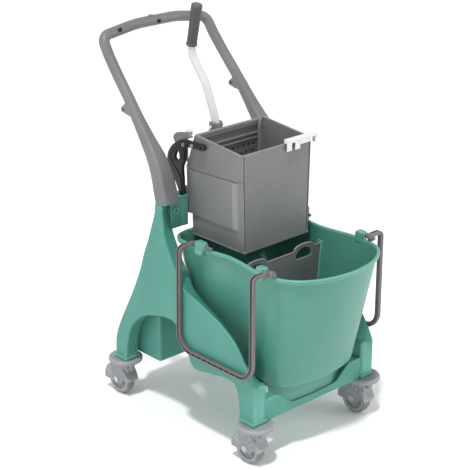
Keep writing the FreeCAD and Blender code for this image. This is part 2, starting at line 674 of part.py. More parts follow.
# ---------------------------------------------------------------- press plate
plate_half = S.plate_width / 2
plate_back = S.plate_front_y + S.plate_thickness
sheet_plate = box(("-Sizes.plate_width / 2", "Sizes.plate_front_y", S.plate_hinge_z + 8),
                  "Sizes.plate_width", "Sizes.plate_thickness",
                  S.plate_top - S.plate_hinge_z - 8)
beam = span((-plate_half, S.plate_front_y - 3, 697), (plate_half, plate_back + 3, S.plate_top))
ribs = [span((-plate_half, S.plate_front_y - 3, z), (plate_half, S.plate_front_y + 1, z + 5))
        for z in (676, 664)]
barrels = [rod((x, S.plate_hinge_y, S.plate_hinge_z), 6.0, 30.0, "X") for x in (-80, -15, 50)]
webs = [span((x, S.plate_hinge_y - 1, S.plate_hinge_z + 2), (x + 30, plate_back,
                                                             S.plate_hinge_z + 12))
        for x in (-80, -15, 50)]
striker = span((-9, plate_back, 640), (9, plate_back + 3, 698))
holes = []
rows = 7
columns = 11
for row_index in range(rows):
    for column in range(columns):
        x = (column - (columns - 1) / 2) * S.hole_pitch
        z = 652 - row_index * S.hole_pitch
        if abs(x) > 9 + 3 or z < 636:
            holes.append(rod((x, S.plate_front_y - 1, z), 3.0, S.plate_thickness + 2, "Y"))
pin_bore_tool = rod((-100, S.plate_hinge_y, S.plate_hinge_z),
                    S.plate_pin / 2 + S.running_gap, 200.0, "X")
node(cut(fuse(sheet_plate, beam, striker, *ribs, *barrels, *webs), pin_bore_tool, *holes),
     "press_plate")
node(rod((-98, "Sizes.plate_hinge_y", "Sizes.plate_hinge_z"), "Sizes.plate_pin / 2", 196.0, "X"),
     "plate_hinge_pin")

# ---------------------------------------------------------------- lever
shaft_half = casing_half(560) - 2.5
cheek_in = S.cheek_gap / 2
axis_y, axis_z = S.lever_axis_y, S.lever_axis_z
node(rod((-shaft_half, "Sizes.lever_axis_y", "Sizes.lever_axis_z"), "Sizes.shaft_diameter / 2",
         2 * shaft_half, "X"), "lever_shaft")

cheek_outline = outline(
    (axis_y + 15, axis_z), [(axis_y, axis_z - 15), (axis_y - 15, axis_z)],
    (axis_y - 14, 640), (S.roller_y - 8, S.roller_z - 6),
    [(S.roller_y - 7, S.roller_z + 5), (S.roller_y, S.roller_z + 8)],
    (108, 700), (107, 716), (126, 716), (126, 640), (axis_y + 15, axis_z))
cheek_left = profile_body("cheek", "YZ", -cheek_in - S.cheek, "Sizes.cheek", cheek_outline)
collar = rod((-cheek_in - 1, axis_y, axis_z), 14.0, 2 * cheek_in + 2, "X")
hub_shaft_hole = rod((-30, axis_y, axis_z), "Sizes.shaft_diameter / 2", 60.0, "X")
roller_pin_hole = rod((-30, S.roller_y, S.roller_z), 3.0, 60.0, "X")
hub_solid = fuse(cheek_left, mirrored(cheek_left), collar,
                 span((-cheek_in - 1, 106, 655), (cheek_in + 1, 126, 700)))
tube_bore = rod((0, 116.5, 686), "Sizes.lever_rod / 2 - 1", 40.0)
bolt_hole = rod((-20, 116.5, 704), 3.0, 40.0, "X")
node(cut(hub_solid, hub_shaft_hole, roller_pin_hole, tube_bore, bolt_hole), "lever_hub")

lever_r = S.lever_rod / 2 - 1
lever_runs = [(0, 116.5, 686), (0, 116.5, 722), (0, 150, 797), (0, 199, 858), (0, 199.4, 881)]
tube = bent_rod(lever_runs, [28, 200, 60], lever_r)
tube_bolt_hole = rod((-20, 116.5, 704), 3.0, 40.0, "X")
node(cut(tube, tube_bolt_hole), "lever_tube")
node(fuse(rod((-16, 116.5, 704), 3.0, 33.0, "X"), rod((-18, 116.5, 704), 5.5, 4.0, "X"),
          rod((14, 116.5, 704), 6.0, 6.0, "X")), "hub_bolt")

grip_lean = math.degrees(math.atan2(21, 100))
grip = doc.addObject("Part::Cylinder", "grip")
sized(grip, Radius="Sizes.grip_diameter / 2", Height="Sizes.grip_length")
grip_turn = Rotation(X, grip_lean)
grip = place(grip, (0, 200.5, 884), grip_turn)
node(grip, "lever_grip")

node(cut(rod((-cheek_in + 0.5, "Sizes.roller_y", "Sizes.roller_z"),
             "Sizes.roller_diameter / 2", 2 * cheek_in - 1, "X"),
         rod((-cheek_in - 1, S.roller_y, S.roller_z), 3.0, 2 * cheek_in + 2, "X")),
     "push_roller")
node(rod((-cheek_in - S.cheek, "Sizes.roller_y", "Sizes.roller_z"), 3.0,
         2 * (cheek_in + S.cheek), "X"), "roller_pin")
node(fuse(rod((-85, 113, 700), 7.0, 15.0), rod((-85, 113, 708), 9.0, 5.0)), "rest_peg")

# ---------------------------------------------------------------- check and write
doc.recompute()
for item in doc.Objects:
    if "Invalid" in item.State or "Error" in item.State:
        raise RuntimeError("%s (%s) failed: %s" % (item.Label, item.TypeId, item.State))
os.makedirs("parts", exist_ok=True)
for piece in NODES:
    shape = piece.Shape
    if shape.isNull() or not shape.isValid() or not shape.Solids:
        raise RuntimeError("%s has no valid solid" % piece.Label)
    shape.exportStep("parts/%s.step" % piece.Label)
print("%d pieces written" % len(NODES))
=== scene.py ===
import math

import bmesh
import bpy
from mathutils import Matrix, Vector


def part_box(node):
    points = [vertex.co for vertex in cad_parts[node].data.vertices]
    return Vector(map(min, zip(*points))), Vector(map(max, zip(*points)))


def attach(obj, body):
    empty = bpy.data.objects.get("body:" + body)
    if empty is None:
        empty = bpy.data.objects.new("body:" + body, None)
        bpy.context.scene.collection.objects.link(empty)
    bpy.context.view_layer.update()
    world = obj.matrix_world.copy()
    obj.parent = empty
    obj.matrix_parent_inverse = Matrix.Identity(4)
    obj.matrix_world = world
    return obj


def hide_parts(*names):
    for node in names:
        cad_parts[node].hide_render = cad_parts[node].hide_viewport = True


# Mop bucket trolley: green moulded chassis and bucket, grey push handle, grey press wringer
# with a white lever. Shapes are worked in millimetres and turned to metres in piece().

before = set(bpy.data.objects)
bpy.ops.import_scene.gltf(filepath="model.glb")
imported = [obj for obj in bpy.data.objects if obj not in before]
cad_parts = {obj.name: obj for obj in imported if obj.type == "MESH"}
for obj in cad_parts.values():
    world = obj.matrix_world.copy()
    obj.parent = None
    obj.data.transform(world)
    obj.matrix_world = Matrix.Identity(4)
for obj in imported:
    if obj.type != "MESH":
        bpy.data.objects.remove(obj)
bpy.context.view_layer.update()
MM = 0.001
SIDES = (("left", -1), ("right", 1))
ENDS = ("front", "rear")


def mm_box(node):
    """The lowest and highest corner of a CAD node in millimetres."""
    low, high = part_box(node)
    return low / MM, high / MM


# ---- shapes
# A shape is a pair: a list of points in millimetres and a list of faces.

def joined(*shapes):
    points, faces = [], []
    for more_points, more_faces in shapes:
        start = len(points)
        points += [tuple(p) for p in more_points]
        faces += [tuple(i + start for i in face) for face in more_faces]
    return points, faces


def moved(shape, matrix):
    points, faces = shape
    flip = matrix.to_3x3().determinant() < 0
    turned_faces = [tuple(reversed(face)) for face in faces] if flip else faces
    return [tuple(matrix @ Vector(p)) for p in points], turned_faces


def mirrored(shape):
    return moved(shape, Matrix.Scale(-1, 4, (1, 0, 0)))


def both(*shapes):
    """Shapes drawn for one side, together with their mirror images."""
    one = joined(*shapes)
    return joined(one, mirrored(one))


def sided(shape, side):
    """A shape drawn for the left, or its mirror image for the right."""
    return shape if side < 0 else mirrored(shape)


def from_bmesh(work):
    work.verts.index_update()
    points = [tuple(v.co) for v in work.verts]
    faces = [tuple(v.index for v in face.verts) for face in work.faces]
    work.free()
    return points, faces


def block(low, high, rounding=1.0, steps=3):
    """A box between two corners with rounded edges."""
    work = bmesh.new()
    bmesh.ops.create_cube(work, size=1.0)
    for v in work.verts:
        v.co = [a + (c + 0.5) * (b - a) for a, b, c in zip(low, high, v.co)]
    bmesh.ops.bevel(work, geom=work.edges[:], offset=rounding, segments=steps, profile=0.5,
        affect="EDGES", clamp_overlap=True)
    return from_bmesh(work)


def skin(rings, cap_start=True, cap_end=True, close=False):
    """Quads between rings of the same number of points."""
    count = len(rings[0])
    points = [tuple(p) for ring in rings for p in ring]
    faces = []
    last = len(rings) if close else len(rings) - 1
    for row in range(last):
        here, there = row * count, ((row + 1) % len(rings)) * count
        for i in range(count):
            j = (i + 1) % count
            faces.append((here + i, here + j, there + j, there + i))
    if not close and cap_start:
        faces.append(tuple(reversed(range(count))))
    if not close and cap_end:
        faces.append(tuple(range((len(rings) - 1) * count, len(rings) * count)))
    return points, faces


AXES = {"X": Matrix(((0, 0, 1, 0), (1, 0, 0, 0), (0, 1, 0, 0), (0, 0, 0, 1))),
    "Y": Matrix(((1, 0, 0, 0), (0, 0, -1, 0), (0, 1, 0, 0), (0, 0, 0, 1))),
    "Z": Matrix.Identity(4)}


def turned(profile, centre, along="Z", steps=48):
    """A closed half outline of (radius, height) turned about an axis through a centre."""
    rings = []
    for k in range(steps):
        angle = 2 * math.pi * k / steps
        rings.append([(r * math.cos(angle), r * math.sin(angle), h) for r, h in profile])
    shape = skin(rings, close=True)
    return moved(shape, Matrix.Translation(centre) @ AXES[along])


def rounded_rod(radius, length, rounding):
    """Half outline of a solid rod with softened ends, for turned()."""
    inner = 0.05
    return [(inner, 0), (radius - rounding, 0), (radius - 0.3 * rounding, 0.3 * rounding),
        (radius, rounding), (radius, length - rounding),
        (radius - 0.3 * rounding, length - 0.3 * rounding), (radius - rounding, length),
        (inner, length)]


def smooth(points, per=6, closed=False):
    """A smooth line through points of any number of coordinates."""
    count = len(points)
    size = len(points[0])
    line = []
    for i in range(count if closed else count - 1):
        if closed:
            a, b, c, d = [points[(i + k) % count] for k in (-1, 0, 1, 2)]
        else:
            a, b = points[max(i - 1, 0)], points[i]
            c, d = points[i + 1], points[min(i + 2, count - 1)]
        for step in range(per):
            t = step / per
            line.append(tuple(0.5 * (2 * b[k] + (c[k] - a[k]) * t
                    + (2 * a[k] - 5 * b[k] + 4 * c[k] - d[k]) * t * t
                    + (3 * b[k] - a[k] - 3 * c[k] + d[k]) * t ** 3) for k in range(size)))
    if not closed:
        line.append(tuple(points[-1]))
    return line


def bent(points, radii, steps=8):
    """Straight runs joined by arcs of the given radii."""
    places = [Vector(p) for p in points]
    line = [places[0]]
    for before, corner, after, radius in zip(places, places[1:], places[2:], radii):
        back_way = (before - corner).normalized()
        on_way = (after - corner).normalized()
        half = back_way.angle(on_way) / 2
        reach = radius / math.tan(half)
        centre = corner + (back_way + on_way).normalized() * (radius / math.sin(half))
        first, last = corner + back_way * reach, corner + on_way * reach
        for step in range(steps + 1):
            way = (first - centre).normalized().slerp((last - centre).normalized(),
                step / steps)
            line.append(centre + way * radius)
    line.append(places[-1])
    return line


def oval(across, along, count=20, power=2.0):
    """A rounded section; a power above two makes it squarer."""
    section = []
    for k in range(count):
        angle = 2 * math.pi * k / count
        c, s = math.cos(angle), math.sin(angle)
        section.append((across / 2 * math.copysign(abs(c) ** (2 / power), c),
                along / 2 * math.copysign(abs(s) ** (2 / power), s)))
    return section


def swept(line, section, facing, cap=True):
    """A section carried along a line. The section is a list or a function of the place's
    number; its second axis keeps to the facing direction."""
    places = [Vector(p) for p in line]
    facing = Vector(facing)
    rings = []
    for i, place in enumerate(places):
        ahead = places[min(i + 1, len(places) - 1)] - places[max(i - 1, 0)]
        ahead.normalize()
        along = (facing - facing.dot(ahead) * ahead).normalized()
        across = along.cross(ahead)
        outline = section(i) if callable(section) else section
        rings.append([place + across * u + along * v for u, v in outline])
    return skin(rings, cap, cap)


def plate(outlines, plane, low, high, rounding=1.0):
    """Closed outlines in a plane, holes among them, made into a plate with rounded edges.
    The plane's two letters name the outline's axes; low and high are along the third."""
    curve = bpy.data.curves.new("plate", "CURVE")
    curve.dimensions = "2D"
    curve.fill_mode = "BOTH"
    curve.extrude = (high - low) / 2 - rounding
    curve.bevel_depth = rounding
    curve.bevel_resolution = 2
    curve.offset = -rounding
    for outline in outlines:
        spline = curve.splines.new("POLY")
        spline.points.add(len(outline) - 1)
        for point, (u, v) in zip(spline.points, outline):
            point.co = (u, v, 0, 1)
        spline.use_cyclic_u = True
    holder = bpy.data.objects.new("plate", curve)
    bpy.context.scene.collection.objects.link(holder)
    bpy.context.view_layer.update()
    mesh = bpy.data.meshes.new_from_object(
        holder.evaluated_get(bpy.context.evaluated_depsgraph_get()))
    work = bmesh.new()
    work.from_mesh(mesh)
    bmesh.ops.remove_doubles(work, verts=work.verts[:], dist=0.001)
    shape = from_bmesh(work)
    bpy.data.objects.remove(holder)
    bpy.data.curves.remove(curve)
    bpy.data.meshes.remove(mesh)
    middle = (low + high) / 2
    order = {"YZ": "zxy", "XZ": "xzy", "XY": "xyz"}[plane]
    points = [tuple({"x": x, "y": y, "z": z + middle}[letter] for letter in order)
        for x, y, z in shape[0]]
    faces = [tuple(reversed(f)) for f in shape[1]] if plane == "XZ" else shape[1]
    return points, faces


def circle(u, v, radius, steps=20):
    return [(u + radius * math.cos(2 * math.pi * k / steps),
            v + radius * math.sin(2 * math.pi * k / steps)) for k in range(steps)]


def placed(name, data):
    """A new object of this data, put in the scene."""
    made = bpy.data.objects.new(name, data)
    bpy.context.scene.collection.objects.link(made)
    return made


def piece(name, shape, body, material, stands_for=(), sharp=40):
    """Make a shape into a finished piece that rides on a CAD body."""
    mesh = bpy.data.meshes.new(name)
    points, faces = shape
    mesh.from_pydata([[c * MM for c in p] for p in points], [], faces)
    work = bmesh.new()
    work.from_mesh(mesh)
    bmesh.ops.recalc_face_normals(work, faces=work.faces[:])
    work.to_mesh(mesh)
    work.free()
    mesh.materials.append(material)
    mesh.shade_smooth()
    mesh.set_sharp_from_angle(angle=math.radians(sharp))
    made = placed(name, mesh)
    fair = made.modifiers.new("fair", "WEIGHTED_NORMAL")
    fair.keep_sharp = True
    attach(made, body)
    if stands_for:
        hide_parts(*stands_for)
    return made


# ---- finishes
def linear(code):
    """An sRGB hex colour as the linear colour that shaders use."""
    parts = [int(code[i:i + 2], 16) / 255 for i in (1, 3, 5)]
    return [c / 12.92 if c <= 0.04045 else ((c + 0.055) / 1.055) ** 2.4 for c in parts] + [1.0]


def add(material, kind, values=None, links=None, **settings):
    """Add a node with its settings, its sockets' values and what is linked into them."""
    tree = material.node_tree
    made = tree.nodes.new("ShaderNode" + kind)
    for key, value in settings.items():
        setattr(made, key, value)
    for socket, value in (values or {}).items():
        made.inputs[socket].default_value = value
    for socket, source in (links or {}).items():
        tree.links.new(source, made.inputs[socket])
    return made


def per_mm(size):
    """Noise scale for a feature of this many millimetres, on coordinates in metres."""
    return 1.0 / (size * MM)


def blank(name):
    """A material with no nodes but the coordinates on its object."""
    material = bpy.data.materials.new(name)
    material.use_nodes = True
    material.node_tree.nodes.clear()
    return material, add(material, "TexCoord").outputs["Object"]


def moulded(name, main, worn, dark, rough, grain_mm, grain_depth, gloss_ior=1.49,
        translucency=0.0, mottle=0.35):
    """Injection-moulded plastic: soft cloudy colour, a fine spark-eroded grain, rubbed paler
    edges, painted shade darkening the hollows, and slow waves where the wall shrank in the mould."""
    material, spot = blank(name)
    cloud = add(material, "TexNoise", {"Scale": per_mm(90), "Detail": 3.0}, {"Vector": spot})
    speck = add(material, "TexNoise", {"Scale": per_mm(2.5), "Detail": 2.0}, {"Vector": spot})
    grain = add(material, "TexNoise", {"Scale": per_mm(grain_mm), "Detail": 4.0},
        {"Vector": spot})
    wave = add(material, "TexNoise", {"Scale": per_mm(55), "Detail": 1.0}, {"Vector": spot})
    edges = add(material, "NewGeometry").outputs["Pointiness"]
    rubbed = add(material, "MapRange", {"From Min": 0.515, "From Max": 0.60, "To Max": 0.75},
        {"Value": edges})
    # painted shade: concave creases, found by low pointiness, take the dark colour as if shade lay
    # in them
    hollow = add(material, "MapRange",
        {"From Min": 0.485, "From Max": 0.42, "To Max": 0.55}, {"Value": edges})
    mixing = add(material, "MapRange", {"From Min": 0.35, "From Max": 0.65, "To Max": mottle},
        {"Value": cloud.outputs["Fac"]})
    base = add(material, "Mix", {"A": linear(main), "B": linear(dark)},
        {"Factor": mixing.outputs["Result"]}, data_type="RGBA")
    paler = add(material, "Mix", {"B": linear(worn)},
        {"Factor": rubbed.outputs["Result"], "A": base.outputs["Result"]}, data_type="RGBA")
    # lays the painted shade of the hollows over the colour
    hollows_shaded = add(material, "Mix", {"B": linear(dark)},
        {"Factor": hollow.outputs["Result"], "A": paler.outputs["Result"]}, data_type="RGBA")
    uneven = add(material, "MapRange", {"From Min": 0.3, "From Max": 0.7,
            "To Min": rough - 0.06, "To Max": rough + 0.08}, {"Value": speck.outputs["Fac"]})
    slow = add(material, "Bump", {"Strength": 0.12, "Distance": 0.0012},
        {"Height": wave.outputs["Fac"]})
    fine = add(material, "Bump", {"Strength": 0.35, "Distance": grain_depth * MM},
        {"Height": grain.outputs["Fac"], "Normal": slow.outputs["Normal"]})
    shader = add(material, "BsdfPrincipled",
        {"IOR": gloss_ior, "Subsurface Weight": translucency,
            "Subsurface Radius": (0.004, 0.006, 0.005), "Subsurface Scale": 1.0},
        {"Base Color": hollows_shaded.outputs["Result"],
            "Roughness": uneven.outputs["Result"], "Normal": fine.outputs["Normal"]})
    add(material, "OutputMaterial", links={"Surface": shader.outputs["BSDF"]})
    return material


def metal(name, colour, stain, rough, brushed_mm):
    """Turned or drawn metal: fine lines along it, faint stains, uneven polish."""
    material, spot = blank(name)
    stretched = add(material, "Mapping", {"Scale": (1.0, 8.0, 8.0)}, {"Vector": spot})
    lines = add(material, "TexNoise", {"Scale": per_mm(brushed_mm), "Detail": 3.0},
        {"Vector": stretched.outputs["Vector"]})
    patch = add(material, "TexNoise", {"Scale": per_mm(12), "Detail": 4.0}, {"Vector": spot})
    tone = add(material, "MapRange", {"From Min": 0.45, "From Max": 0.7, "To Max": 0.5},
        {"Value": patch.outputs["Fac"]})
    colours = add(material, "Mix", {"A": linear(colour), "B": linear(stain)},
        {"Factor": tone.outputs["Result"]}, data_type="RGBA")
    polish = add(material, "MapRange", {"From Min": 0.3, "From Max": 0.7,
            "To Min": rough - 0.08, "To Max": rough + 0.1}, {"Value": lines.outputs["Fac"]})
    bump = add(material, "Bump", {"Strength": 0.2, "Distance": 0.0002},
        {"Height": lines.outputs["Fac"]})
    shader = add(material, "BsdfPrincipled", {"Metallic": 1.0},
        {"Base Color": colours.outputs["Result"],
            "Roughness": polish.outputs["Result"], "Normal": bump.outputs["Normal"]})
    add(material, "OutputMaterial", links={"Surface": shader.outputs["BSDF"]})
    return material


# chassis: matt sea-green polypropylene with a fine spark grain that spreads the highlights
chassis_green = moulded("moulded_polypropylene_green", "#478E80", "#72B8AA", "#35776A",
    0.46, 1.4, 0.10)
# bucket: smoother and slightly translucent polypropylene, so its thin wall glows a little
bucket_green = moulded("smooth_polypropylene_green", "#519182", "#88C9BB", "#418274",
    0.36, 2.2, 0.05, translucency=0.05, mottle=0.25)
# wringer: grey glass-filled nylon, a flat even grey with a satin skin
wringer_grey = moulded("satin_nylon_grey", "#747576", "#8C8D8E", "#626365", 0.42, 1.6, 0.07)
# push handle: grey polypropylene, satin, with a soft sheen on the round tube
handle_grey = moulded("satin_polypropylene_grey", "#727375", "#969799", "#5D5E60", 0.40, 1.8,
    0.06)
# bucket handles: warm grey-brown nylon, a little glossier where hands rub them
bail_grey = moulded("warm_grey_nylon", "#605A5A", "#837C7C", "#4A4545", 0.38, 1.5, 0.06)
# hangers: black acetal, dull with dusty edges
black_acetal = moulded("black_acetal", "#0B0B0C", "#242425", "#060607", 0.42, 1.5, 0.06)
# lever grip: dark grey soft vinyl, matt with a coarse grain that gives a hold
grip_vinyl = moulded("grained_vinyl_dark_grey", "#4C4D50", "#707174", "#38393B", 0.62, 0.9,
    0.14)
# clip and peg: white ABS, bright and slightly glossy
white_abs = moulded("glossy_abs_white", "#DADBDA", "#F2F2F1", "#BFC0BE", 0.28, 2.0, 0.03,
    mottle=0.2)
# lever: powder-coated steel tube, off-white with the fine orange peel of the coat
coated_white = moulded("powder_coat_white", "#CFD0D0", "#E8E8E8", "#B2B3B4", 0.33, 1.2, 0.08,
    mottle=0.25)
# caster forks and wheel discs: grey nylon, satin
caster_grey = moulded("caster_nylon_grey", "#8A8E90", "#B0B3B5", "#6F7375", 0.40, 1.2, 0.06)
# bumper rings: grey thermoplastic rubber, soft and matt
ring_rubber = moulded("bumper_rubber_grey", "#8D8E92", "#B0B1B4", "#747579", 0.60, 1.0, 0.10)
# tyres: grey rubber, matt and dusty on the tread
tyre_rubber = moulded("tyre_rubber_grey", "#77797B", "#96989A", "#5C5E60", 0.72, 0.9, 0.14)
# axles, pins and screws: zinc-plated steel, bright with faint bluish stains
zinc_steel = metal("zinc_plated_steel", "#C9CCCF", "#8F9296", 0.32, 1.5)
# recessed screws of the push handle: blackened steel, dull with a faint brown stain
blackened_steel = metal("blackened_steel", "#3A3B3D", "#2A2725", 0.46, 1.5)


# ---- side frames
# Each line of the frame is a pair of curves: where the flat outer face turns, and where the
# inner face turns. Between them the wall is a rounded band, widest over the front arch.
OUTER_X, INNER_X = -200.0, -164.0


def twice(line):
    """Places where both curves of a pair run together."""
    return [place + place for place in line]


FRONT_LEG = [(-228, 108, -228, 108), (-228, 192, -228, 186)]
FRONT_BAND = [(-228, 198, -226, 192), (-213, 228, -204, 210), (-193, 257, -180, 226),
    (-167, 295, -160, 245), (-117, 328, -129, 284), (-80, 343, -100, 304),
    (-49, 355, -74, 321), (-20, 364, -27, 343), (7, 373, 7, 363), (25, 393, 25, 388),
    (44, 424, 45, 421), (58, 448, 58, 441), (70, 470, 71, 466), (76, 490, 83, 490),
    (79, 509, 94, 511), (82, 530, 98, 531), (83.5, 546, 100, 546)]
POST_TOP = [(84, 559, 100.5, 559), (108, 559, 113, 559)]
REAR_LINE = [(109.5, 546, 113, 546), (113, 528, 115, 528)] + twice(
    [(137, 461), (153, 423), (170, 374), (203, 303), (250, 215), (269, 167), (273, 124)])
REAR_FOOT = twice([(274, 108), (232, 108)])
ARCH_LINE = twice(
    [(230, 124), (226, 155), (212, 201), (191, 230), (160, 254), (125, 268), (76, 279),
     (45, 276), (22, 258), (2, 222), (-11, 193)])
SKIRT_LINE = twice(
    [(-22, 182), (-40, 181), (-61, 186), (-100, 192), (-134, 200), (-158, 196), (-171, 183),
     (-178, 150), (-180, 124)])
FRONT_FOOT = twice([(-180, 108)])


def side_frame():
    """Rings from the outer face to the inner one, mitred at the corners and crowned between."""
    loop = (FRONT_LEG + smooth(FRONT_BAND, 5) + POST_TOP + smooth(REAR_LINE, 5) + REAR_FOOT
        + smooth(ARCH_LINE, 5) + smooth(SKIRT_LINE, 4) + FRONT_FOOT)
    depth = INNER_X - OUTER_X
    outer_edge, inner_edge, crown_high, full_band = 4.0, 5.0, 2.0, 20
    levels = [0.0, 0.3, 0.9, 1.8, 2.8, outer_edge, 10, 18, 24, depth - 5, depth - 3.2, depth - 1.6,
        depth - 0.5, depth]
    rings = []
    for level in levels:
        share = level / depth
        ease = share * share * (3 - 2 * share)
        near = min(level, depth - level)
        radius = outer_edge if level < depth / 2 else inner_edge
        inset = radius - math.sqrt(max(radius ** 2 - max(radius - near, 0) ** 2, 0))
        flat = [(yo + (yi - yo) * ease, zo + (zi - zo) * ease) for yo, zo, yi, zi in loop]
        crown = crown_high * math.sin(math.pi * share)
        ring = []
        for i, (y, z) in enumerate(flat):
            here = Vector((y, z))
            back = (here - Vector(flat[i - 1])).normalized()
            on = (Vector(flat[(i + 1) % len(flat)]) - here).normalized()
            ahead = (back + on).normalized()
            mitre = 1 / max(ahead.dot(on), 0.5)
            band = abs(loop[i][1] - loop[i][3]) + abs(loop[i][0] - loop[i][2])
            push = crown * min(band / full_band, 1.0) - inset * mitre
            ring.append((OUTER_X + level, y - ahead.y * push, z + ahead.x * push))
        rings.append(ring)
    return skin(rings)


def frame_details():
    """Leg columns with rims round their feet, a rib inside the post, a nub on its rear edge."""
    front_column = block((-182, -228, 108), (-158, -181, 203), 6, 4)
    rear_column = block((-184, 232, 108), (-158, 272, 163), 6, 4)
    foot_rims = [block((-203, y0, 108), (-157, y1, 117), 2.5, 3)
        for y0, y1 in ((-231, -178), (229, 276))]
    nub = turned(rounded_rod(5.5, 18, 1.5), (-193, 152, 424), "X", 20)
    line = [(INNER_X + 0.6, y, z) for y, z in smooth(
            [(100, 540), (104, 500), (96, 460), (80, 420), (62, 380), (48, 340), (40, 300)], 4)]
    inner_rib = swept(line, oval(3.0, 3.0, 8), (1, 0, 0))
    return joined(front_column, rear_column, nub, inner_rib, *foot_rims)


for side_name, side in SIDES:
    piece("side_frame_shell_" + side_name, sided(side_frame(), side), "trolley",
        chassis_green, ["side_frame_" + side_name], sharp=50)
    piece("side_frame_columns_" + side_name, sided(frame_details(), side), "trolley",
        chassis_green)

# ---- cross members and tray
bar_low, bar_high = mm_box("front_crossbar")
bar_half = bar_high.x
bar_line = [(-bar_half, 108), (bar_half, 108), (bar_half, 163), (120, 163)] + smooth(
    [(116, 162), (96, 147), (74, 130), (40, 127), (0, 126), (-40, 127), (-74, 130),
        (-96, 147), (-116, 162)], 5) + [(-120, 163), (-bar_half, 163)]
bar_face = plate([bar_line], "XZ", bar_low.y, bar_low.y + 6, 1.6)
slope_rings = []
for y, z, half in ((bar_low.y + 5, 121, 116), (-214, 127, 117), (-206, 142, 117.5),
        (-196, 164, 118), (-190, 176, 118), (-186, 179.2, 118)):
    slope_rings.append([(-half, y, z), (half, y, z), (half, y + 2, z - 8), (-half, y + 2, z - 8)])
bar_slope = skin(slope_rings)
bar_ribs = [block((x - 1.5, bar_low.y + 4, 112), (x + 1.5, -200, 122), 0.6, 2)
    for x in (-100, -60, -20, 20, 60, 100)]
bar_returns = both(block((-bar_half, bar_low.y + 3, 108), (-120, -196, 162), 2.5, 3))
piece("crossbar_front", joined(bar_face, bar_slope, bar_returns, *bar_ribs), "trolley",
    chassis_green, ["front_crossbar"])

TRAY_TOP, TRAY_THICK, TRAY_FRONT, TRAY_REAR = 179.7, 10, -186, 61.5
WING_FRONT, WING_REAR, WING_TOP = -165, -20, 225
tray_half = mm_box("base_tray")[1].x
tray_under = TRAY_TOP - TRAY_THICK
tray_parts = [
    block((-130, TRAY_FRONT, tray_under), (130, TRAY_REAR, TRAY_TOP), 2.5, 3),
    both(
        block((-tray_half, WING_FRONT, tray_under), (8 - tray_half, WING_REAR, WING_TOP), 2.2, 3),
        block((6 - tray_half, WING_FRONT, tray_under), (-128, WING_REAR, TRAY_TOP), 2.0, 3))]
for x in (-90, -45, 0, 45, 90):
    tray_parts.append(block((x - 2, TRAY_FRONT + 6, tray_under - 8),
            (x + 2, TRAY_REAR - 3.5, tray_under + 1), 0.8, 2))
piece("tray_floor", joined(*tray_parts), "trolley", chassis_green,
    ["base_tray"])

box_low, box_high = mm_box("rear_box")
BOX_FRONT, BOX_HALF, SHELF_DEPTH = 160, 150, 24
box_shapes = [
    block((-BOX_HALF, BOX_FRONT, box_low.z), (BOX_HALF, box_high.y, box_high.z - 6), 9, 5),
    block((-BOX_HALF - 0.5, BOX_FRONT - 0.5, box_high.z - 9),
        (BOX_HALF + 0.5, box_high.y, box_high.z), 3, 3),
    block((INNER_X, BOX_FRONT + 0.3, box_high.z - 8),
        (-INNER_X, BOX_FRONT + SHELF_DEPTH, box_high.z - 0.8), 2, 3)]
for x in (-100, -50, 0, 50, 100):
    box_shapes.append(block((x - 1.5, box_high.y - 2.4, 125), (x + 1.5, box_high.y - 0.2, 250),
            0.6, 2))
piece("rear_locker", joined(*box_shapes), "trolley", chassis_green,
    ["rear_box"])

# ---- push handle
# Each station of the left leg: place, width across, depth along, and how square it is.
LEG_STATIONS = [(-177.6, 86.6, 559.6, 44, 40, 7), (-177.4, 88.6, 567, 44.5, 41, 7),
    (-176.4, 97, 592, 44, 41, 6.5), (-174.8, 109, 625, 42, 40, 5.5),
    (-173.4, 130, 660, 37.5, 36, 4.5), (-172.6, 156, 691, 33, 32, 3.4),
    (-171.6, 183, 723, 29.5, 29, 2.6), (-170.6, 211, 757, 27.5, 27, 2.2),
    (-169.4, 228, 778, 26.5, 26.4, 2), (-167, 274, 829, 26, 26, 2), (-165, 306, 867, 26, 26, 2)]
left_leg = smooth(LEG_STATIONS, 6)
leg_places = [station[:3] for station in left_leg]
bow = bent([leg_places[-1], (-163, 333, 907), (-60, 332, 922), (60, 332, 922),
        (163, 333, 907), (-leg_places[-1][0],) + leg_places[-1][1:]], [24, 260, 260, 24], 12)
handle_line = leg_places[:-1] + bow + [(-x, y, z) for x, y, z in reversed(leg_places[:-1])]
leg_sizes = [station[3:] for station in left_leg[:-1]]
handle_sizes = leg_sizes + [(26, 26, 2)] * len(bow) + leg_sizes[::-1]


def handle_section(number):
    """Round on the bow, growing to a squarer shell down each leg."""
    across, along, power = handle_sizes[number]
    return oval(across, along, 32, power)


LUG_LINE = smooth([(214, 742), (228, 741), (240, 743.6), (249, 745.2), (252.6, 751.5),
        (249.4, 758), (243, 762), (238, 768), (224, 768)], 4, closed=True)
handle_parts = [swept(handle_line, handle_section, (0, -0.83, 0.56)),
    both(plate([LUG_LINE, circle(244, 751.5, 3.1, 20)], "YZ", -177.5, -164.5, 2.0)),
    block((-22, 326, 933), (-10, 334, 938), 1.6, 3)]
piece("push_handle_shell", joined(*handle_parts), "trolley", handle_grey,
    ["push_handle"], sharp=60)
screws = []
for x, z in ((-120, 920), (0, 922), (120, 920)):
    cup = [(3.0, 0), (4.6, 0), (5.0, 0.5), (5.0, 2.4), (3.0, 2.4)]
    screws.append(turned(cup, (x, 319.4, z - 0.5), "Y", 24))
    screws.append(turned(rounded_rod(2.8, 3, 0.8), (x, 320.6, z - 0.5), "Y", 20))
piece("handle_screw_heads", joined(*screws), "trolley", blackened_steel,
    ["handle_screws"])

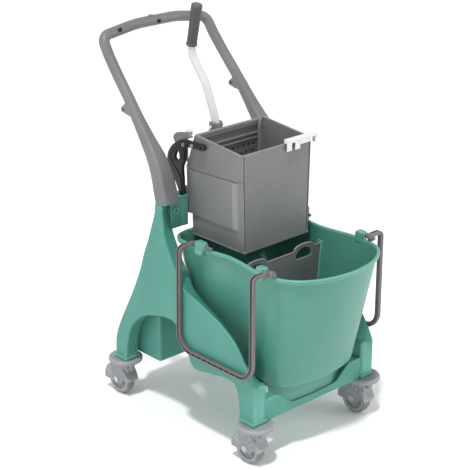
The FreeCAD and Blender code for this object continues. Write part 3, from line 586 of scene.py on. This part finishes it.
# ---- hanger pockets
POCKET_FRONT, POCKET_REAR, POCKET_LOW, POCKET_TOP = 92, 126, 490, 566
POCKET_OUT, POCKET_IN, SLOT_OUT = -163.5, -110.5, -125.5
pocket = joined(
    block((-128.6, POCKET_FRONT - 0.8, 494), (-127.2, POCKET_FRONT + 1, 562), 0.3, 2),
    block((-163, POCKET_FRONT - 0.9, 559), (-111, POCKET_FRONT + 3, POCKET_TOP), 1.0, 3),
    turned([(4.6, 0), (8.5, 0), (9, 0.6), (9, 2.0), (4.6, 2.0)],
        (-150, POCKET_FRONT - 1.2, 534), "Y", 28),
    block((POCKET_OUT, POCKET_FRONT + 4, POCKET_LOW), (POCKET_IN, POCKET_REAR, 499), 2, 3),
    block((POCKET_OUT, POCKET_FRONT, POCKET_LOW), (SLOT_OUT, POCKET_REAR, POCKET_TOP), 3, 3),
    block((SLOT_OUT - 0.5, POCKET_FRONT, POCKET_LOW),
        (POCKET_IN, POCKET_FRONT + 3.6, POCKET_TOP), 1.4, 3),
    block((SLOT_OUT - 0.5, POCKET_FRONT + 20.5, POCKET_LOW),
        (POCKET_IN, POCKET_REAR, POCKET_TOP), 2, 3))
for side_name, side in SIDES:
    piece("pocket_shell_" + side_name, sided(pocket, side), "trolley",
        chassis_green, ["wringer_pocket_" + side_name])

# ---- bucket
RIM_PLAN = [(0, 101), (95, 101), (135, 94), (154, 74), (159, 40), (156, -20), (148, -60),
    (145, -94), (148, -130), (156, -180), (157, -225), (148, -268), (120, -302),
    (70, -328), (0, -339)]
FLOOR_PLAN = [(0, 52), (80, 52), (106, 46), (121, 28), (125, 0), (124, -35), (121, -65),
    (120, -94), (121, -125), (125, -160), (127, -195), (121, -225), (100, -243),
    (55, -256), (0, -261)]
FLOOR_Z, RIM_Z = 180.0, 473.0
DIVIDER_Y = -105.0


def plan(share, outset, z):
    """The bucket's outline part of the way from its floor to its rim."""
    half = [(a + (c - a) * share, b + (d - b) * share)
        for (a, b), (c, d) in zip(FLOOR_PLAN, RIM_PLAN)]
    both = half + [(-x, y) for x, y in reversed(half[1:-1])]
    line = smooth(both, 6, closed=True)
    ring = []
    for i, (x, y) in enumerate(line):
        (bx, by), (ax, ay) = line[i - 1], line[(i + 1) % len(line)]
        size = math.hypot(ax - bx, ay - by)
        ring.append((x - (ay - by) / size * outset, y + (ax - bx) / size * outset, z))
    return ring


def share_at(z):
    return (z - FLOOR_Z) / (RIM_Z - FLOOR_Z)


BUCKET_PROFILE = (
    [(180.0, -26), (180.0, -9), (180.8, -5.2), (182.6, -2.4), (185.5, -0.8), (190, 0)]
    + [(z, 0) for z in range(205, 446, 16)]
    + [(452, 0), (457.5, 0), (460.5, 0.6), (461.8, 2.6), (462.4, 4.3), (463.6, 4.9),
        (466.5, 5.0), (469.6, 4.9), (471.6, 4.0), (472.8, 2.2), (473.0, 0.4), (472.6, -1.6),
        (471.4, -3.0), (469, -3.7), (464, -4.0)] + [(z, -4) for z in range(445, 204, -16)]
    + [(196, -4), (190, -5.2), (186.2, -8), (184.2, -14), (184.0, -30)])


def bucket_tub():
    rings = [plan(share_at(min(z, RIM_Z)), outset, z) for z, outset in BUCKET_PROFILE]
    points, faces = skin(rings, False, False)
    count = len(rings[0])
    faces.append(tuple(reversed(range(count))))
    start = (len(rings) - 1) * count
    faces.append(tuple(range(start, start + count)))
    return points, faces


def divider_guides():
    """Two upright ribs on each wall that hold the divider plate."""
    shapes = []
    for shift in (-4.4, 4.4):
        foot = Vector((-112.5, DIVIDER_Y + shift, 184))
        head = Vector((-136.4, DIVIDER_Y + shift, 440))
        shapes.append(swept([foot, (foot + head) / 2, head], oval(3.4, 9, 12, 4), (1, 0, 0)))
    return both(*shapes)


def rim_lugs():
    """Lugs on the rim that carry the pivots of the bucket handles."""
    shapes = []
    for low_y, high_y in ((-222, -200), (-22, 4)):
        shapes += [block((-170.5, low_y, 462), (-150.5, high_y, 488.6), 3.5, 4),
            block((-172, low_y + 3, 459), (-160, high_y - 3, 470), 2, 3),
            turned([(4.2, 0), (8.0, 0), (8.6, 0.6), (8.6, 1.8), (4.2, 1.8)],
                (-161, low_y - 1.6, 480), "Y", 24)]
    return both(*shapes)


def foot_rim():
    """A shallow rim under the floor."""
    line = [(x, y, 181.5) for x, y, z in plan(0.0, -16, 181)]
    return swept(line + line[:1], oval(4, 3, 8), (0, 0, 1), False)


piece("bucket_tub", bucket_tub(), "bucket", bucket_green, ["bucket"],
    sharp=60)
piece("bucket_lugs", rim_lugs(), "bucket", bucket_green)
piece("bucket_ribs", joined(divider_guides(), foot_rim()), "bucket",
    bucket_green)

# ---- divider plate
EDGE_Z, ARCH_Z = 435.0, 449.0
GRIP_X, GRIP_HALF = 78.0, 34.0
div_low, div_high = mm_box("bucket_divider")
FLOOR_HALF, BUCKET_WALL, DIVIDER_GAP = 119.5, 4, 1.5
low_half = FLOOR_HALF - BUCKET_WALL - DIVIDER_GAP
top_half = div_high.x


def grip_line(centre):
    return smooth([(centre + GRIP_HALF, EDGE_Z), (centre + GRIP_HALF * 0.7, EDGE_Z + 10.5),
            (centre, ARCH_Z), (centre - GRIP_HALF * 0.7, EDGE_Z + 10.5),
            (centre - GRIP_HALF, EDGE_Z)], 6)


def hand_hole(centre):
    reach = GRIP_HALF - 8
    return smooth([(centre - reach, EDGE_Z - 22), (centre, EDGE_Z - 24),
            (centre + reach, EDGE_Z - 22), (centre + reach - 3, EDGE_Z - 4),
            (centre, ARCH_Z - 9), (centre - reach + 3, EDGE_Z - 4)], 5, closed=True)


top_line = ([(top_half, EDGE_Z)] + grip_line(GRIP_X) + grip_line(-GRIP_X)
    + [(-top_half, EDGE_Z)])
sheet_line = [(-low_half, div_low.z), (low_half, div_low.z)] + top_line
holes = [hand_hole(GRIP_X), hand_hole(-GRIP_X)]
divider_sheet = plate([sheet_line] + holes, "XZ", DIVIDER_Y - 1.7, DIVIDER_Y + 1.7, 0.6)
bead_line = [(x, DIVIDER_Y, z - 2.2) for x, z in top_line]
divider_beads = [swept(bead_line, oval(5.2, 5.2, 12), (0, 1, 0))]
for hole in holes:
    loop = [(x, DIVIDER_Y, z) for x, z in hole]
    divider_beads.append(swept(loop + loop[:1], oval(4.6, 3.2, 10), (0, 1, 0), False))
piece("divider_sheet", joined(divider_sheet, *divider_beads), "divider",
    wringer_grey, ["bucket_divider"])

# ---- bucket handles
CHANNEL = [(5.5, 4.5), (3.2, 4.9), (2.4, 0.8), (-2.4, 0.8), (-3.2, 4.9), (-5.5, 4.5),
    (-6.1, 2.5), (-6.1, -2.5), (-5.2, -4.6), (5.2, -4.6), (6.1, -2.5), (6.1, 2.5)]


def bail():
    """A channel-section bow whose arms end in round hubs on the rim lugs."""
    out_x, low_z, front_y, rear_y = -208, 227, -231, 13
    pivot_x, pivot_z = -161, 480
    places = bent([(-168, rear_y, pivot_z), (out_x, rear_y, pivot_z), (out_x, 17, low_z),
            (out_x, front_y, low_z), (out_x, front_y, pivot_z),
            (-168, front_y, pivot_z)], [12, 42, 42, 12], 9)
    rings = []
    for i, place in enumerate(places):
        ahead = (places[min(i + 1, len(places) - 1)] - places[max(i - 1, 0)]).normalized()
        sidelong = min(1.0, abs(ahead.x))
        outward = Vector((sidelong - 1, 0, sidelong))
        outward = (outward - outward.dot(ahead) * ahead).normalized()
        sideways = outward.cross(ahead)
        rings.append([place + sideways * u + outward * v for u, v in CHANNEL])
    bow = skin(rings)
    hubs = [block((out_x - 4.4, y - 1.1, low_z - 4), (out_x + 2, y + 1.1, low_z + 4), 0.5, 2)
        for y in range(-180, -20, 19)]
    hub_long = 12.6
    for y in (front_y - 6, rear_y - 6.6):
        hubs.append(turned([(0.05, 0), (7.0, 0), (8.2, 1.2), (8.2, hub_long - 1.2),
                (7.0, hub_long), (0.05, hub_long)], (pivot_x, y, pivot_z), "Y", 28))
        hubs.append(block((-176, y + 1.5, pivot_z - 5), (-158, y + hub_long - 1.5, pivot_z + 5),
                2.5, 3))
        hubs.append(turned([(0.05, 0), (3.0, 0), (3.6, 0.8), (3.6, hub_long + 3),
                (0.05, hub_long + 3)], (pivot_x, y - 1.5, pivot_z), "Y", 20))
    pins = [turned(rounded_rod(3.9, long, 0.8), (pivot_x, y, pivot_z), "Y", 20)
        for y, long in ((-224, 26), (-18, 28))]
    return joined(bow, *hubs, *pins)


for side_name, side in SIDES:
    piece("bail_bow_" + side_name, sided(bail(), side), "bail_" + side_name,
        bail_grey, ["bail_" + side_name], sharp=45)

# ---- wringer casing
CASING_LOW, CASING_RISE, CASING_SPREAD = 465, 252, 6


def leaning(shape):
    """Shears a shape drawn upright on the left out to the casing's leaning side wall."""
    points, faces = shape
    return [(x - CASING_SPREAD * (z - CASING_LOW) / CASING_RISE * min(1.0, abs(x) / 100), y, z)
        for x, y, z in points], faces


WALL_LINE = [(-84, 466), (86, 466), (87, 467), (87, 515), (88, 516), (96, 516), (97, 517),
    (97, 640), (68, 716), (66, 717), (-83, 703), (-84, 702)]
RAISED_TOP = [(-92.6, 636.5), (-74, 635.5), (97, 628.5), (97, 640), (68, 715.6), (-92.6, 701)]
PANEL_LINE = [(-57.5, 517.5), (96.5, 517.5), (96.5, 625.5), (-57.5, 632)]
RAISED_FRONT = [(-92.6, 467), (-74, 467), (-74, 640), (-92.6, 640)]
WALL_X, BAND_X, PANEL_X = -100.9, -103.2, -104.6
HUB_Y, HUB_Z = 112, 560
wall_shapes = [leaning(plate([WALL_LINE], "YZ", WALL_X, WALL_X + 2.2, 0.8)),
    leaning(plate([RAISED_TOP], "YZ", BAND_X, WALL_X + 0.3, 0.6)),
    leaning(plate([RAISED_FRONT], "YZ", BAND_X, WALL_X + 0.3, 0.6)),
    leaning(plate([PANEL_LINE], "YZ", PANEL_X, WALL_X + 0.3, 0.5)),
    leaning(skin([[(-104.5, -57, z), (-100.8, -73, z), (-100.2, -73, z), (-100.2, -57, z)]
        for z in (518, 545, 580, 610, 631.5)])),
    leaning(swept([(-102.4, 97, 517), (-102.4, 97, 580), (-102.4, 97, 638)],
        oval(4.0, 5.0, 12, 3), (1, 0, 0))),
    leaning(swept([(-102.2, -92, 701.4), (-102.2, -12, 708.4), (-102.2, 66, 715.4)],
        oval(4.6, 3.4, 12, 3), (0, 0, 1))),
    leaning(plate([circle(108, HUB_Z, 20, 40)], "YZ", -103.6, -92.5, 1.0))]
body_shapes = [both(*wall_shapes), block((-101, 83.6, 466), (101, 87, 516), 1.0, 3),
    block((-101, 82.6, 511), (101, 88, 517), 1.6, 3),
    block((-101, -92, 465), (101, -85, 469), 1.0, 3),
    block((-101, 60, 465), (101, 86, 468.5), 1.0, 3),
    both(block((-103, -92, 465), (-91, 86, 468.5), 1.0, 3),
        block((-100.5, 61, 466), (-88, 85, 487), 2, 3))]
for x in (-60, -20, 20, 60):
    body_shapes.append(block((x - 1.5, 86, 470), (x + 1.5, 89, 512), 0.5, 2))
body_shapes.append(plate([smooth([(94, 642), (118, 660), (140, 684), (143.6, 697),
        (134, 706), (118, 711.5), (94, 716)], 5)], "YZ", -109.5, -105.5, 1.2))
body_shapes.append(block((-109.6, 100, 696.6), (-85, 142.8, 700.2), 1.4, 3))
body_shapes.append(block((99.6, 63, 690), (108.4, 67.4, 716), 1.2, 3))
piece("wringer_walls", joined(*body_shapes), "wringer", wringer_grey,
    ["wringer_casing"])

panel_line = [(-97.4, 465.4), (97.4, 465.4), (103.4, 701.6), (-103.4, 701.6)]
panel_shapes = [plate([panel_line], "XZ", -93.0, -89.2, 0.9),
    swept([(-108.6, -91.2, 701.3), (0, -91.2, 701.3), (108.6, -91.2, 701.3)],
        oval(3.4, 5.0, 12, 3), (0, 0, 1)),
    both(block((-103.6, -95.4, 466), (-98, -90, 471), 1.4, 3))]
for x in (-55, 0, 55):
    panel_shapes.append(block((x - 1.2, -90, 475), (x + 1.2, -87.6, 694), 0.6, 2))
piece("front_panel_sheet", joined(*panel_shapes), "wringer", wringer_grey,
    ["front_panel"])

# ---- rim clip
clip_shapes = [block((24, -101, 702.4), (103, -88.2, 713), 2.0, 4),
    block((24, -101, 685), (39.6, -97.2, 706), 1.4, 3),
    block((50.2, -101, 684.6), (65.8, -97.2, 706), 1.4, 3),
    block((62, -101, 694.6), (103, -97.2, 706), 1.4, 3),
    block((98, -100, 703.4), (122, -89, 712.6), 2.2, 4),
    block((115.6, -100, 688.4), (121.8, -89, 710), 2.2, 4),
    block((26, -100.6, 711), (100, -99, 713.0), 0.6, 2)]
piece("rim_clip_body", joined(*clip_shapes), "wringer", white_abs,
    ["rim_clip"])

# ---- hangers
LEFT_HANGER = ([(97, 502), (111, 502), (111, 566)] + smooth(
        [(111, 566), (126, 593), (143, 616), (153, 636), (150, 658), (135, 679), (109, 696),
        (85, 702), (53, 702), (30, 702.6), (21.5, 695), (30, 688), (64, 687), (84, 682),
        (92, 668), (93, 646), (99, 630), (97, 603)], 4)[1:])
LEFT_WINDOW = smooth([(109, 655), (112, 668), (117, 670), (122, 661), (125, 650), (119, 646),
        (113, 648)], 4, closed=True)
inner_ridge = smooth([(103, 560), (104, 600), (118, 622), (140, 640), (139, 658), (127, 674),
        (104, 690), (84, 695), (50, 695), (32, 695)], 5)
hanger_shapes = [plate([LEFT_HANGER, LEFT_WINDOW], "YZ", -122.2, -113.0, 2.6),
    swept([(-122.6, y, z) for y, z in inner_ridge], oval(5, 2.6, 10), (1, 0, 0)),
    turned([(0.05, 0), (6.5, 0), (7.5, 1), (7.5, 11.6), (6.5, 12.4),
        (0.05, 12.4)], (-124, 139, 637), "X", 24)]
piece("hanger_hook_left", joined(*hanger_shapes), "wringer", black_acetal,
    ["hanger_left"])
RIGHT_HANGER = ([(97, 502), (111, 502), (111, 596)] + smooth(
        [(111, 600), (107, 620), (98, 637), (86, 641), (76, 638), (73.6, 622), (76, 607),
        (90, 598), (97, 588)], 4))
piece("hanger_bracket_right", joined(plate([RIGHT_HANGER], "YZ", 112.4, 123.4, 2.4),
        turned([(0.05, 0), (6.5, 0), (7.5, 1), (7.5, 3), (0.05, 3)], (122, 86, 624), "X", 24)),
    "wringer", black_acetal, ["hanger_right"])

# ---- press plate
PLATE_HALF, PLATE_FRONT, PLATE_BACK, PITCH = 98.0, 74.0, 78.0, 17.0
drills = []
for row in range(7):
    for column in range(11):
        x = (column - 5) * PITCH + (PITCH / 2 if row % 2 and column < 10 else 0)
        z = 652 - row * PITCH
        if abs(x) > 12 or z < 636:
            drills.append(circle(x, z, 3.1, 12))
sheet_outline = [(-PLATE_HALF + 1.5, 488), (PLATE_HALF - 1.5, 488), (PLATE_HALF, 490),
    (PLATE_HALF, 710), (-PLATE_HALF, 710), (-PLATE_HALF, 490)]
press_shapes = [plate([sheet_outline] + drills, "XZ", PLATE_FRONT, PLATE_BACK, 0.5),
    block((-PLATE_HALF, PLATE_FRONT - 3, 697.4), (PLATE_HALF, PLATE_BACK + 3, 712), 2.4, 4),
    block((-9, PLATE_BACK - 0.5, 640), (9, PLATE_BACK + 3, 698), 1.0, 3),
    block((-PLATE_HALF + 1, 79.2, 494), (PLATE_HALF - 1, 80.2, 698), 0.3, 2)]
for z in (676, 664):
    press_shapes.append(block((-PLATE_HALF + 1, PLATE_FRONT - 3, z),
            (PLATE_HALF - 1, PLATE_FRONT + 1, z + 5), 1.6, 4))
for x in (-80, -15, 50):
    tube = turned([(3.15, 0), (5.4, 0), (6, 0.6), (6, 29.4), (5.4, 30), (3.15, 30)],
        (x, 69, 480), "X", 28)
    press_shapes += [tube, block((x, 68.4, 482.4), (x + 30, PLATE_BACK, 492), 1.2, 3)]
piece("press_plate_sheet", joined(*press_shapes), "press_plate",
    wringer_grey, ["press_plate"])

# ---- lever
lever_line = smooth([(0, 116.5, 690), (0, 116.5, 712), (0, 124, 735), (0, 136, 764),
        (0, 150, 797), (0, 174, 829), (0, 193, 853), (0, 198.6, 868), (0, 199.6, 881)], 6)
piece("lever_tube_bent", swept(lever_line, oval(20, 20, 28), (1, 0, 0)), "lever",
    coated_white, ["lever_tube"], sharp=60)

GRIP_LEAN = Matrix.Translation((0, 200.5, 884)) @ Matrix.Rotation(math.atan2(21, 100), 4, "X")
grip_outline = [(0.05, -1.0), (11.4, -1.0), (13.2, 0.2), (13.5, 2.0), (13.4, 5.0),
    (12.6, 6.4), (12.2, 8.0), (12.3, 30), (12.7, 60), (13.2, 84), (13.5, 97),
    (13.4, 100.5), (12.2, 103), (9.6, 104), (0.05, 104)]
grip_shape = moved(turned(grip_outline, (0, 0, 0), "Z", 40), GRIP_LEAN)
piece("lever_grip_sleeve", grip_shape, "lever", grip_vinyl, ["lever_grip"])

cheek = smooth([(127, 560), (123, 571), (112, 575), (101, 571), (97, 560), (101, 549),
        (112, 545), (123, 549)], 4, closed=True)
cheek_outline = ([(126, 640), (126, 712), (123, 716), (110, 716), (107.5, 713), (108, 701)]
    + smooth([(106, 699), (97, 692), (89, 690), (85, 684), (85, 677), (92, 664),
        (98, 640)], 4) + [(97.5, 575), (100, 562), (125, 562), (126.5, 575)])
cheek_seam = smooth([(-14.1, 104, 590), (-14.1, 104, 630), (-14.1, 112, 660),
    (-14.1, 116, 700)], 4)
hub_shapes = [both(plate([cheek_outline], "YZ", -14.0, -8.0, 1.4),
    plate([cheek], "YZ", -15.2, -8.0, 1.2), swept(cheek_seam, oval(2.4, 2.0, 8), (1, 0, 0)))]
hub_shapes += [block((-9, 106.5, 655), (9, 125.5, 699), 2.0, 3),
    turned([(8.2, 0), (13.4, 0), (14, 0.6), (14, 17.4), (13.4, 18), (8.2, 18)],
        (-9, HUB_Y, HUB_Z), "X", 36),
    turned([(9.2, 0), (12.2, 0), (13.4, 1.4), (12.8, 11), (11.4, 14), (9.2, 14.6)],
        (0, 116.5, 699), "Z", 36)]
piece("lever_hub_clevis", joined(*hub_shapes), "lever", wringer_grey,
    ["lever_hub"])
knob = joined(turned([(0.05, 0), (4.6, 0), (6, 1.2), (6, 4.6), (4.8, 6), (0.05, 6)],
        (14.2, 116.5, 704), "X", 24),
    turned([(0.05, 0), (4.2, 0), (5.5, 1), (5.5, 3), (4.6, 4), (0.05, 4)],
        (-18.2, 116.5, 704), "X", 6),
    turned(rounded_rod(2.9, 32, 0.5), (-16, 116.5, 704), "X", 16))
piece("hub_bolt_and_knob", knob, "lever", zinc_steel, ["hub_bolt"])
peg = turned([(0.05, 0), (6.4, 0), (7, 0.8), (7, 8), (7.8, 8.4), (9, 9.4), (9, 12.2), (7.6, 13),
        (5.2, 13), (4.8, 11), (0.05, 10.6)], (-85, 113, 700), "Z", 32)
piece("rest_peg_cap", peg, "wringer", white_abs, ["rest_peg"])

# ---- casters
FRONT_AXIS, REAR_AXIS, TRAIL, TRACK_HALF = -215.0, 259.0, 19.0, 180.0
AXLE_Z, SHELL_R, WELL_R, HALF_HOUSING = 40.0, 45.5, 41.5, 17.5


def arc(radius, start, end, steps, y=0.0, z=AXLE_Z):
    return [(y + radius * math.cos(math.radians(start + (end - start) * k / steps)),
            z + radius * math.sin(math.radians(start + (end - start) * k / steps)))
        for k in range(steps + 1)]


def caster_housing():
    """Fork cover over the wheel, about a stem axis at the origin; the wheel trails to +Y."""
    cheek_line = [(y + TRAIL, z) for y, z in arc(SHELL_R - 0.2, -11.0, 175.0, 30)
        + [(-27, 43.6), (-24, 40), (-20, 34), (-14, 31.2), (38, 31.2)]]
    shapes = []
    for side in (-1, 1):
        low, high = sorted((side * (HALF_HOUSING - 4), side * HALF_HOUSING))
        shapes.append(plate([cheek_line], "YZ", low, high, 1.2))
        face = side * (HALF_HOUSING + 0.1)
        boss = [(4.2, 0), (9.4, 0), (10.4, 1.0), (10.4, 2.4), (9.6, 3.0), (4.2, 3.0)]
        x = HALF_HOUSING - 1.4 if side > 0 else -HALF_HOUSING - 1.6
        shapes.append(turned(boss, (x, TRAIL, AXLE_Z), "X", 32))
        for angle in (28, 50, 72, 94, 116, 138):
            c, s = math.cos(math.radians(angle)), math.sin(math.radians(angle))
            shapes.append(swept([(face, TRAIL + 12 * c, AXLE_Z + 12 * s),
                    (face, TRAIL + 27 * c, AXLE_Z + 27 * s),
                    (face, TRAIL + 42 * c, AXLE_Z + 42 * s)], oval(2.6, 1.8, 8), (1, 0, 0)))
        rim = [(face, y + TRAIL, z) for y, z in arc(SHELL_R - 2.2, -8, 172, 26)]
        shapes.append(swept(rim, oval(3.0, 2.2, 8), (1, 0, 0)))
    crown_line = arc(SHELL_R, -9, 174, 30)
    crown_rings = []
    for y, z in crown_line:
        c, s = y / SHELL_R, (z - AXLE_Z) / SHELL_R
        ring = []
        for x, radius in ((-HALF_HOUSING + 0.6, SHELL_R - 0.9), (-HALF_HOUSING + 2.4, SHELL_R),
                (0, SHELL_R + 0.4), (HALF_HOUSING - 2.4, SHELL_R),
                (HALF_HOUSING - 0.6, SHELL_R - 0.9), (HALF_HOUSING - 0.6, WELL_R),
                (0, WELL_R), (-HALF_HOUSING + 0.6, WELL_R)):
            ring.append((x, TRAIL + radius * c, AXLE_Z + radius * s))
        crown_rings.append(ring)
    shapes.append(skin(crown_rings))
    neck = [(5.2, 70), (17.0, 70), (18, 74), (17.4, 88), (15.8, 92), (15.8, 95.3), (5.2, 95.3)]
    shapes.append(turned(neck, (0, 0, 0), "Z", 36))
    shapes.append(block((-7, -28.6, 78), (7, -13, 93), 1.8, 3))
    shapes.append(block((-13, -18, 64), (13, 12, 90), 3.0, 3))
    shapes.append(turned(rounded_rod(4.9, 61, 0.8), (0, 0, 90), "Z", 20))
    return joined(*shapes)


def bumper_ring():
    """Soft round bumper with a rolled edge, a stepped top and a grooved underside."""
    outline = [(6, 0.8), (22, 0.8), (23, 2.4), (33, 2.4), (34, 0.4), (38.4, 0), (41.2, 0.9),
        (42.7, 3.2), (43, 6), (42.7, 8.8), (41.2, 11.1), (38.4, 12), (33, 12),
        (31.6, 11.2), (6, 11.2)]
    shapes = [turned(outline, (0, 0, 96), "Z", 64)]
    for k in range(12):
        angle = 2 * math.pi * k / 12
        c, s = math.cos(angle), math.sin(angle)
        shapes.append(swept([(23 * c, 23 * s, 97.6), (29 * c, 29 * s, 97.6),
                (34 * c, 34 * s, 97.6)], oval(1.6, 2.0, 6), (0, 0, 1)))
    return joined(*shapes)


def wheel_disc():
    """Wheel centre with a raised hub and a dished web, turned about its axle."""
    outline = [(4.1, -12), (9, -12), (10.4, -11), (10.8, -8.2), (27.6, -8.2), (28.6, -11),
        (32.9, -11), (32.9, 11), (28.6, 11), (27.6, 8.2), (10.8, 8.2), (10.4, 11),
        (9, 12), (4.1, 12)]
    shapes = [turned(outline, (0, TRAIL, AXLE_Z), "X", 48)]
    for side in (-1, 1):
        for k in range(8):
            angle = 2 * math.pi * k / 8
            c, s = math.cos(angle), math.sin(angle)
            shapes.append(swept([(side * 8.4, TRAIL + r * c, AXLE_Z + r * s)
                    for r in (10.5, 19, 28)], oval(2.4, 3.0, 8), (1, 0, 0)))
    return joined(*shapes)


def tyre():
    """Rounded tread with two fine grooves."""
    outline = [(32.95, -11), (36.6, -11), (38.6, -9.8), (39.7, -7.4), (40, -4.6), (39.4, -4.1),
        (39.4, -3.5), (40, -3.0), (40, 3.0), (39.4, 3.5), (39.4, 4.1), (40, 4.6),
        (39.7, 7.4), (38.6, 9.8), (36.6, 11), (32.95, 11)]
    return turned(outline, (0, TRAIL, AXLE_Z), "X", 64)


def axle_ends():
    """Screw heads on both cheeks and the plain shank between them."""
    shapes = [turned(rounded_rod(3.95, 35, 0.3), (-17.5, TRAIL, AXLE_Z), "X", 20)]
    for side in (-1, 1):
        x = 17.4 if side > 0 else -19.4
        flat = [(1.6, 0.0), (5.4, 0), (6, 0.5), (6, 1.5), (5.4, 2.0), (1.9, 2.0), (1.6, 1.6)]
        shapes.append(turned(flat, (x, TRAIL, AXLE_Z), "X", 24))
        shapes.append(turned([(0.05, 0.3), (1.7, 0.3), (1.7, 1.2), (0.05, 1.2)],
                (x, TRAIL, AXLE_Z), "X", 6))
    return joined(*shapes)


for side_name, side in SIDES:
    for end in ENDS:
        tag = end + "_" + side_name
        spot = Matrix.Translation((side * TRACK_HALF, FRONT_AXIS if end == "front" else
                REAR_AXIS, 0))
        fork, roll = "caster_fork_" + tag, "caster_roll_" + tag
        piece("fork_cover_" + tag, moved(caster_housing(), spot), fork,
            caster_grey, ["caster_housing_" + tag])
        piece("axle_screws_" + tag, moved(axle_ends(), spot), fork, zinc_steel,
            ["caster_axle_" + tag])
        piece("wheel_disc_" + tag, moved(wheel_disc(), spot), roll,
            caster_grey, ["caster_wheel_" + tag])
        piece("tread_" + tag, moved(tyre(), spot), roll, tyre_rubber,
            ["caster_tyre_" + tag])
        piece("bumper_" + tag, moved(bumper_ring(), spot), "trolley",
            ring_rubber, ["bumper_ring_" + tag])

# ---- CAD pieces that stay
for node, finish in {"drain_grid": wringer_grey, "push_roller": white_abs,
        "lever_shaft": zinc_steel, "roller_pin": zinc_steel,
        "plate_hinge_pin": zinc_steel, "hanger_bolts": zinc_steel,
        "pocket_bolts": zinc_steel}.items():
    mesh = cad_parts[node].data
    mesh.materials.clear()
    mesh.materials.append(finish)

# ---- floor, light and camera
floor_mesh = bpy.data.meshes.new("floor")
FLOOR_REACH = 14.0
floor_mesh.from_pydata([(x * FLOOR_REACH, y * FLOOR_REACH, 0) for x, y in
        ((-1, -1), (1, -1), (1, 1), (-1, 1))], [], [(0, 1, 2, 3)])
floor = placed("floor", floor_mesh)
# floor: white painted studio board, matt, with a faint mottle from the roller
board, board_spot = blank("white_studio_board")
board_noise = add(board, "TexNoise", {"Scale": per_mm(60), "Detail": 3.0},
    {"Vector": board_spot})
board_tone = add(board, "Mix", {"A": linear("#FBFBFB"), "B": linear("#F6F6F6")},
    {"Factor": board_noise.outputs["Fac"]}, data_type="RGBA")
board_shader = add(board, "BsdfPrincipled", {"Roughness": 0.75, "Specular IOR Level": 0.2},
    {"Base Color": board_tone.outputs["Result"]})
add(board, "OutputMaterial", links={"Surface": board_shader.outputs["BSDF"]})
floor_mesh.materials.append(board)

world = bpy.data.worlds.new("studio")
bpy.context.scene.world = world
world.use_nodes = True
sky = world.node_tree.nodes["Background"]
sky.inputs["Color"].default_value = (1.0, 1.0, 1.0, 1.0)
sky.inputs["Strength"].default_value = 0.64


def light(name, kind, energy, toward, size, place=None):
    """A lamp that shines in a direction; a sun needs no place."""
    data = bpy.data.lights.new(name, kind)
    data.energy = energy
    if kind == "SUN":
        data.angle = math.radians(size)
    else:
        data.shape = "DISK"
        data.size = size
    lamp = placed(name, data)
    lamp.rotation_mode = "QUATERNION"
    lamp.rotation_quaternion = Vector(toward).to_track_quat("-Z", "Y")
    lamp.location = place or (0, 0, 3)


# Energies are W/m2 for the sun and W for the areas; sizes are degrees and metres.
for lamp_settings in (("key_sun", "SUN", 1.95, (0.30, 0.22, -1.0), 4.0),
        ("left_soft", "AREA", 23, (0.95, -0.05, -0.35), 2.0, (-3.2, 0.4, 1.7)),
        ("right_soft", "AREA", 31, (-0.55, 0.75, -0.4), 2.0, (2.0, -2.8, 1.8))):
    light(*lamp_settings)

SENSOR_MM, LENS_MM = 36.0, 109.07
CAMERA_PLACE = (-2.1622, -2.2856, 1.7048)
CAMERA_LOOKS = Vector((0.63173, 0.68220, -0.36812))
camera_data = bpy.data.cameras.new("camera")
camera_data.sensor_width = SENSOR_MM
camera_data.lens = LENS_MM
camera = placed("camera", camera_data)
camera.location = CAMERA_PLACE
camera.rotation_mode = "QUATERNION"
camera.rotation_quaternion = CAMERA_LOOKS.to_track_quat("-Z", "Y")
bpy.context.scene.camera = camera
bpy.context.scene.view_settings.view_transform = "Standard"
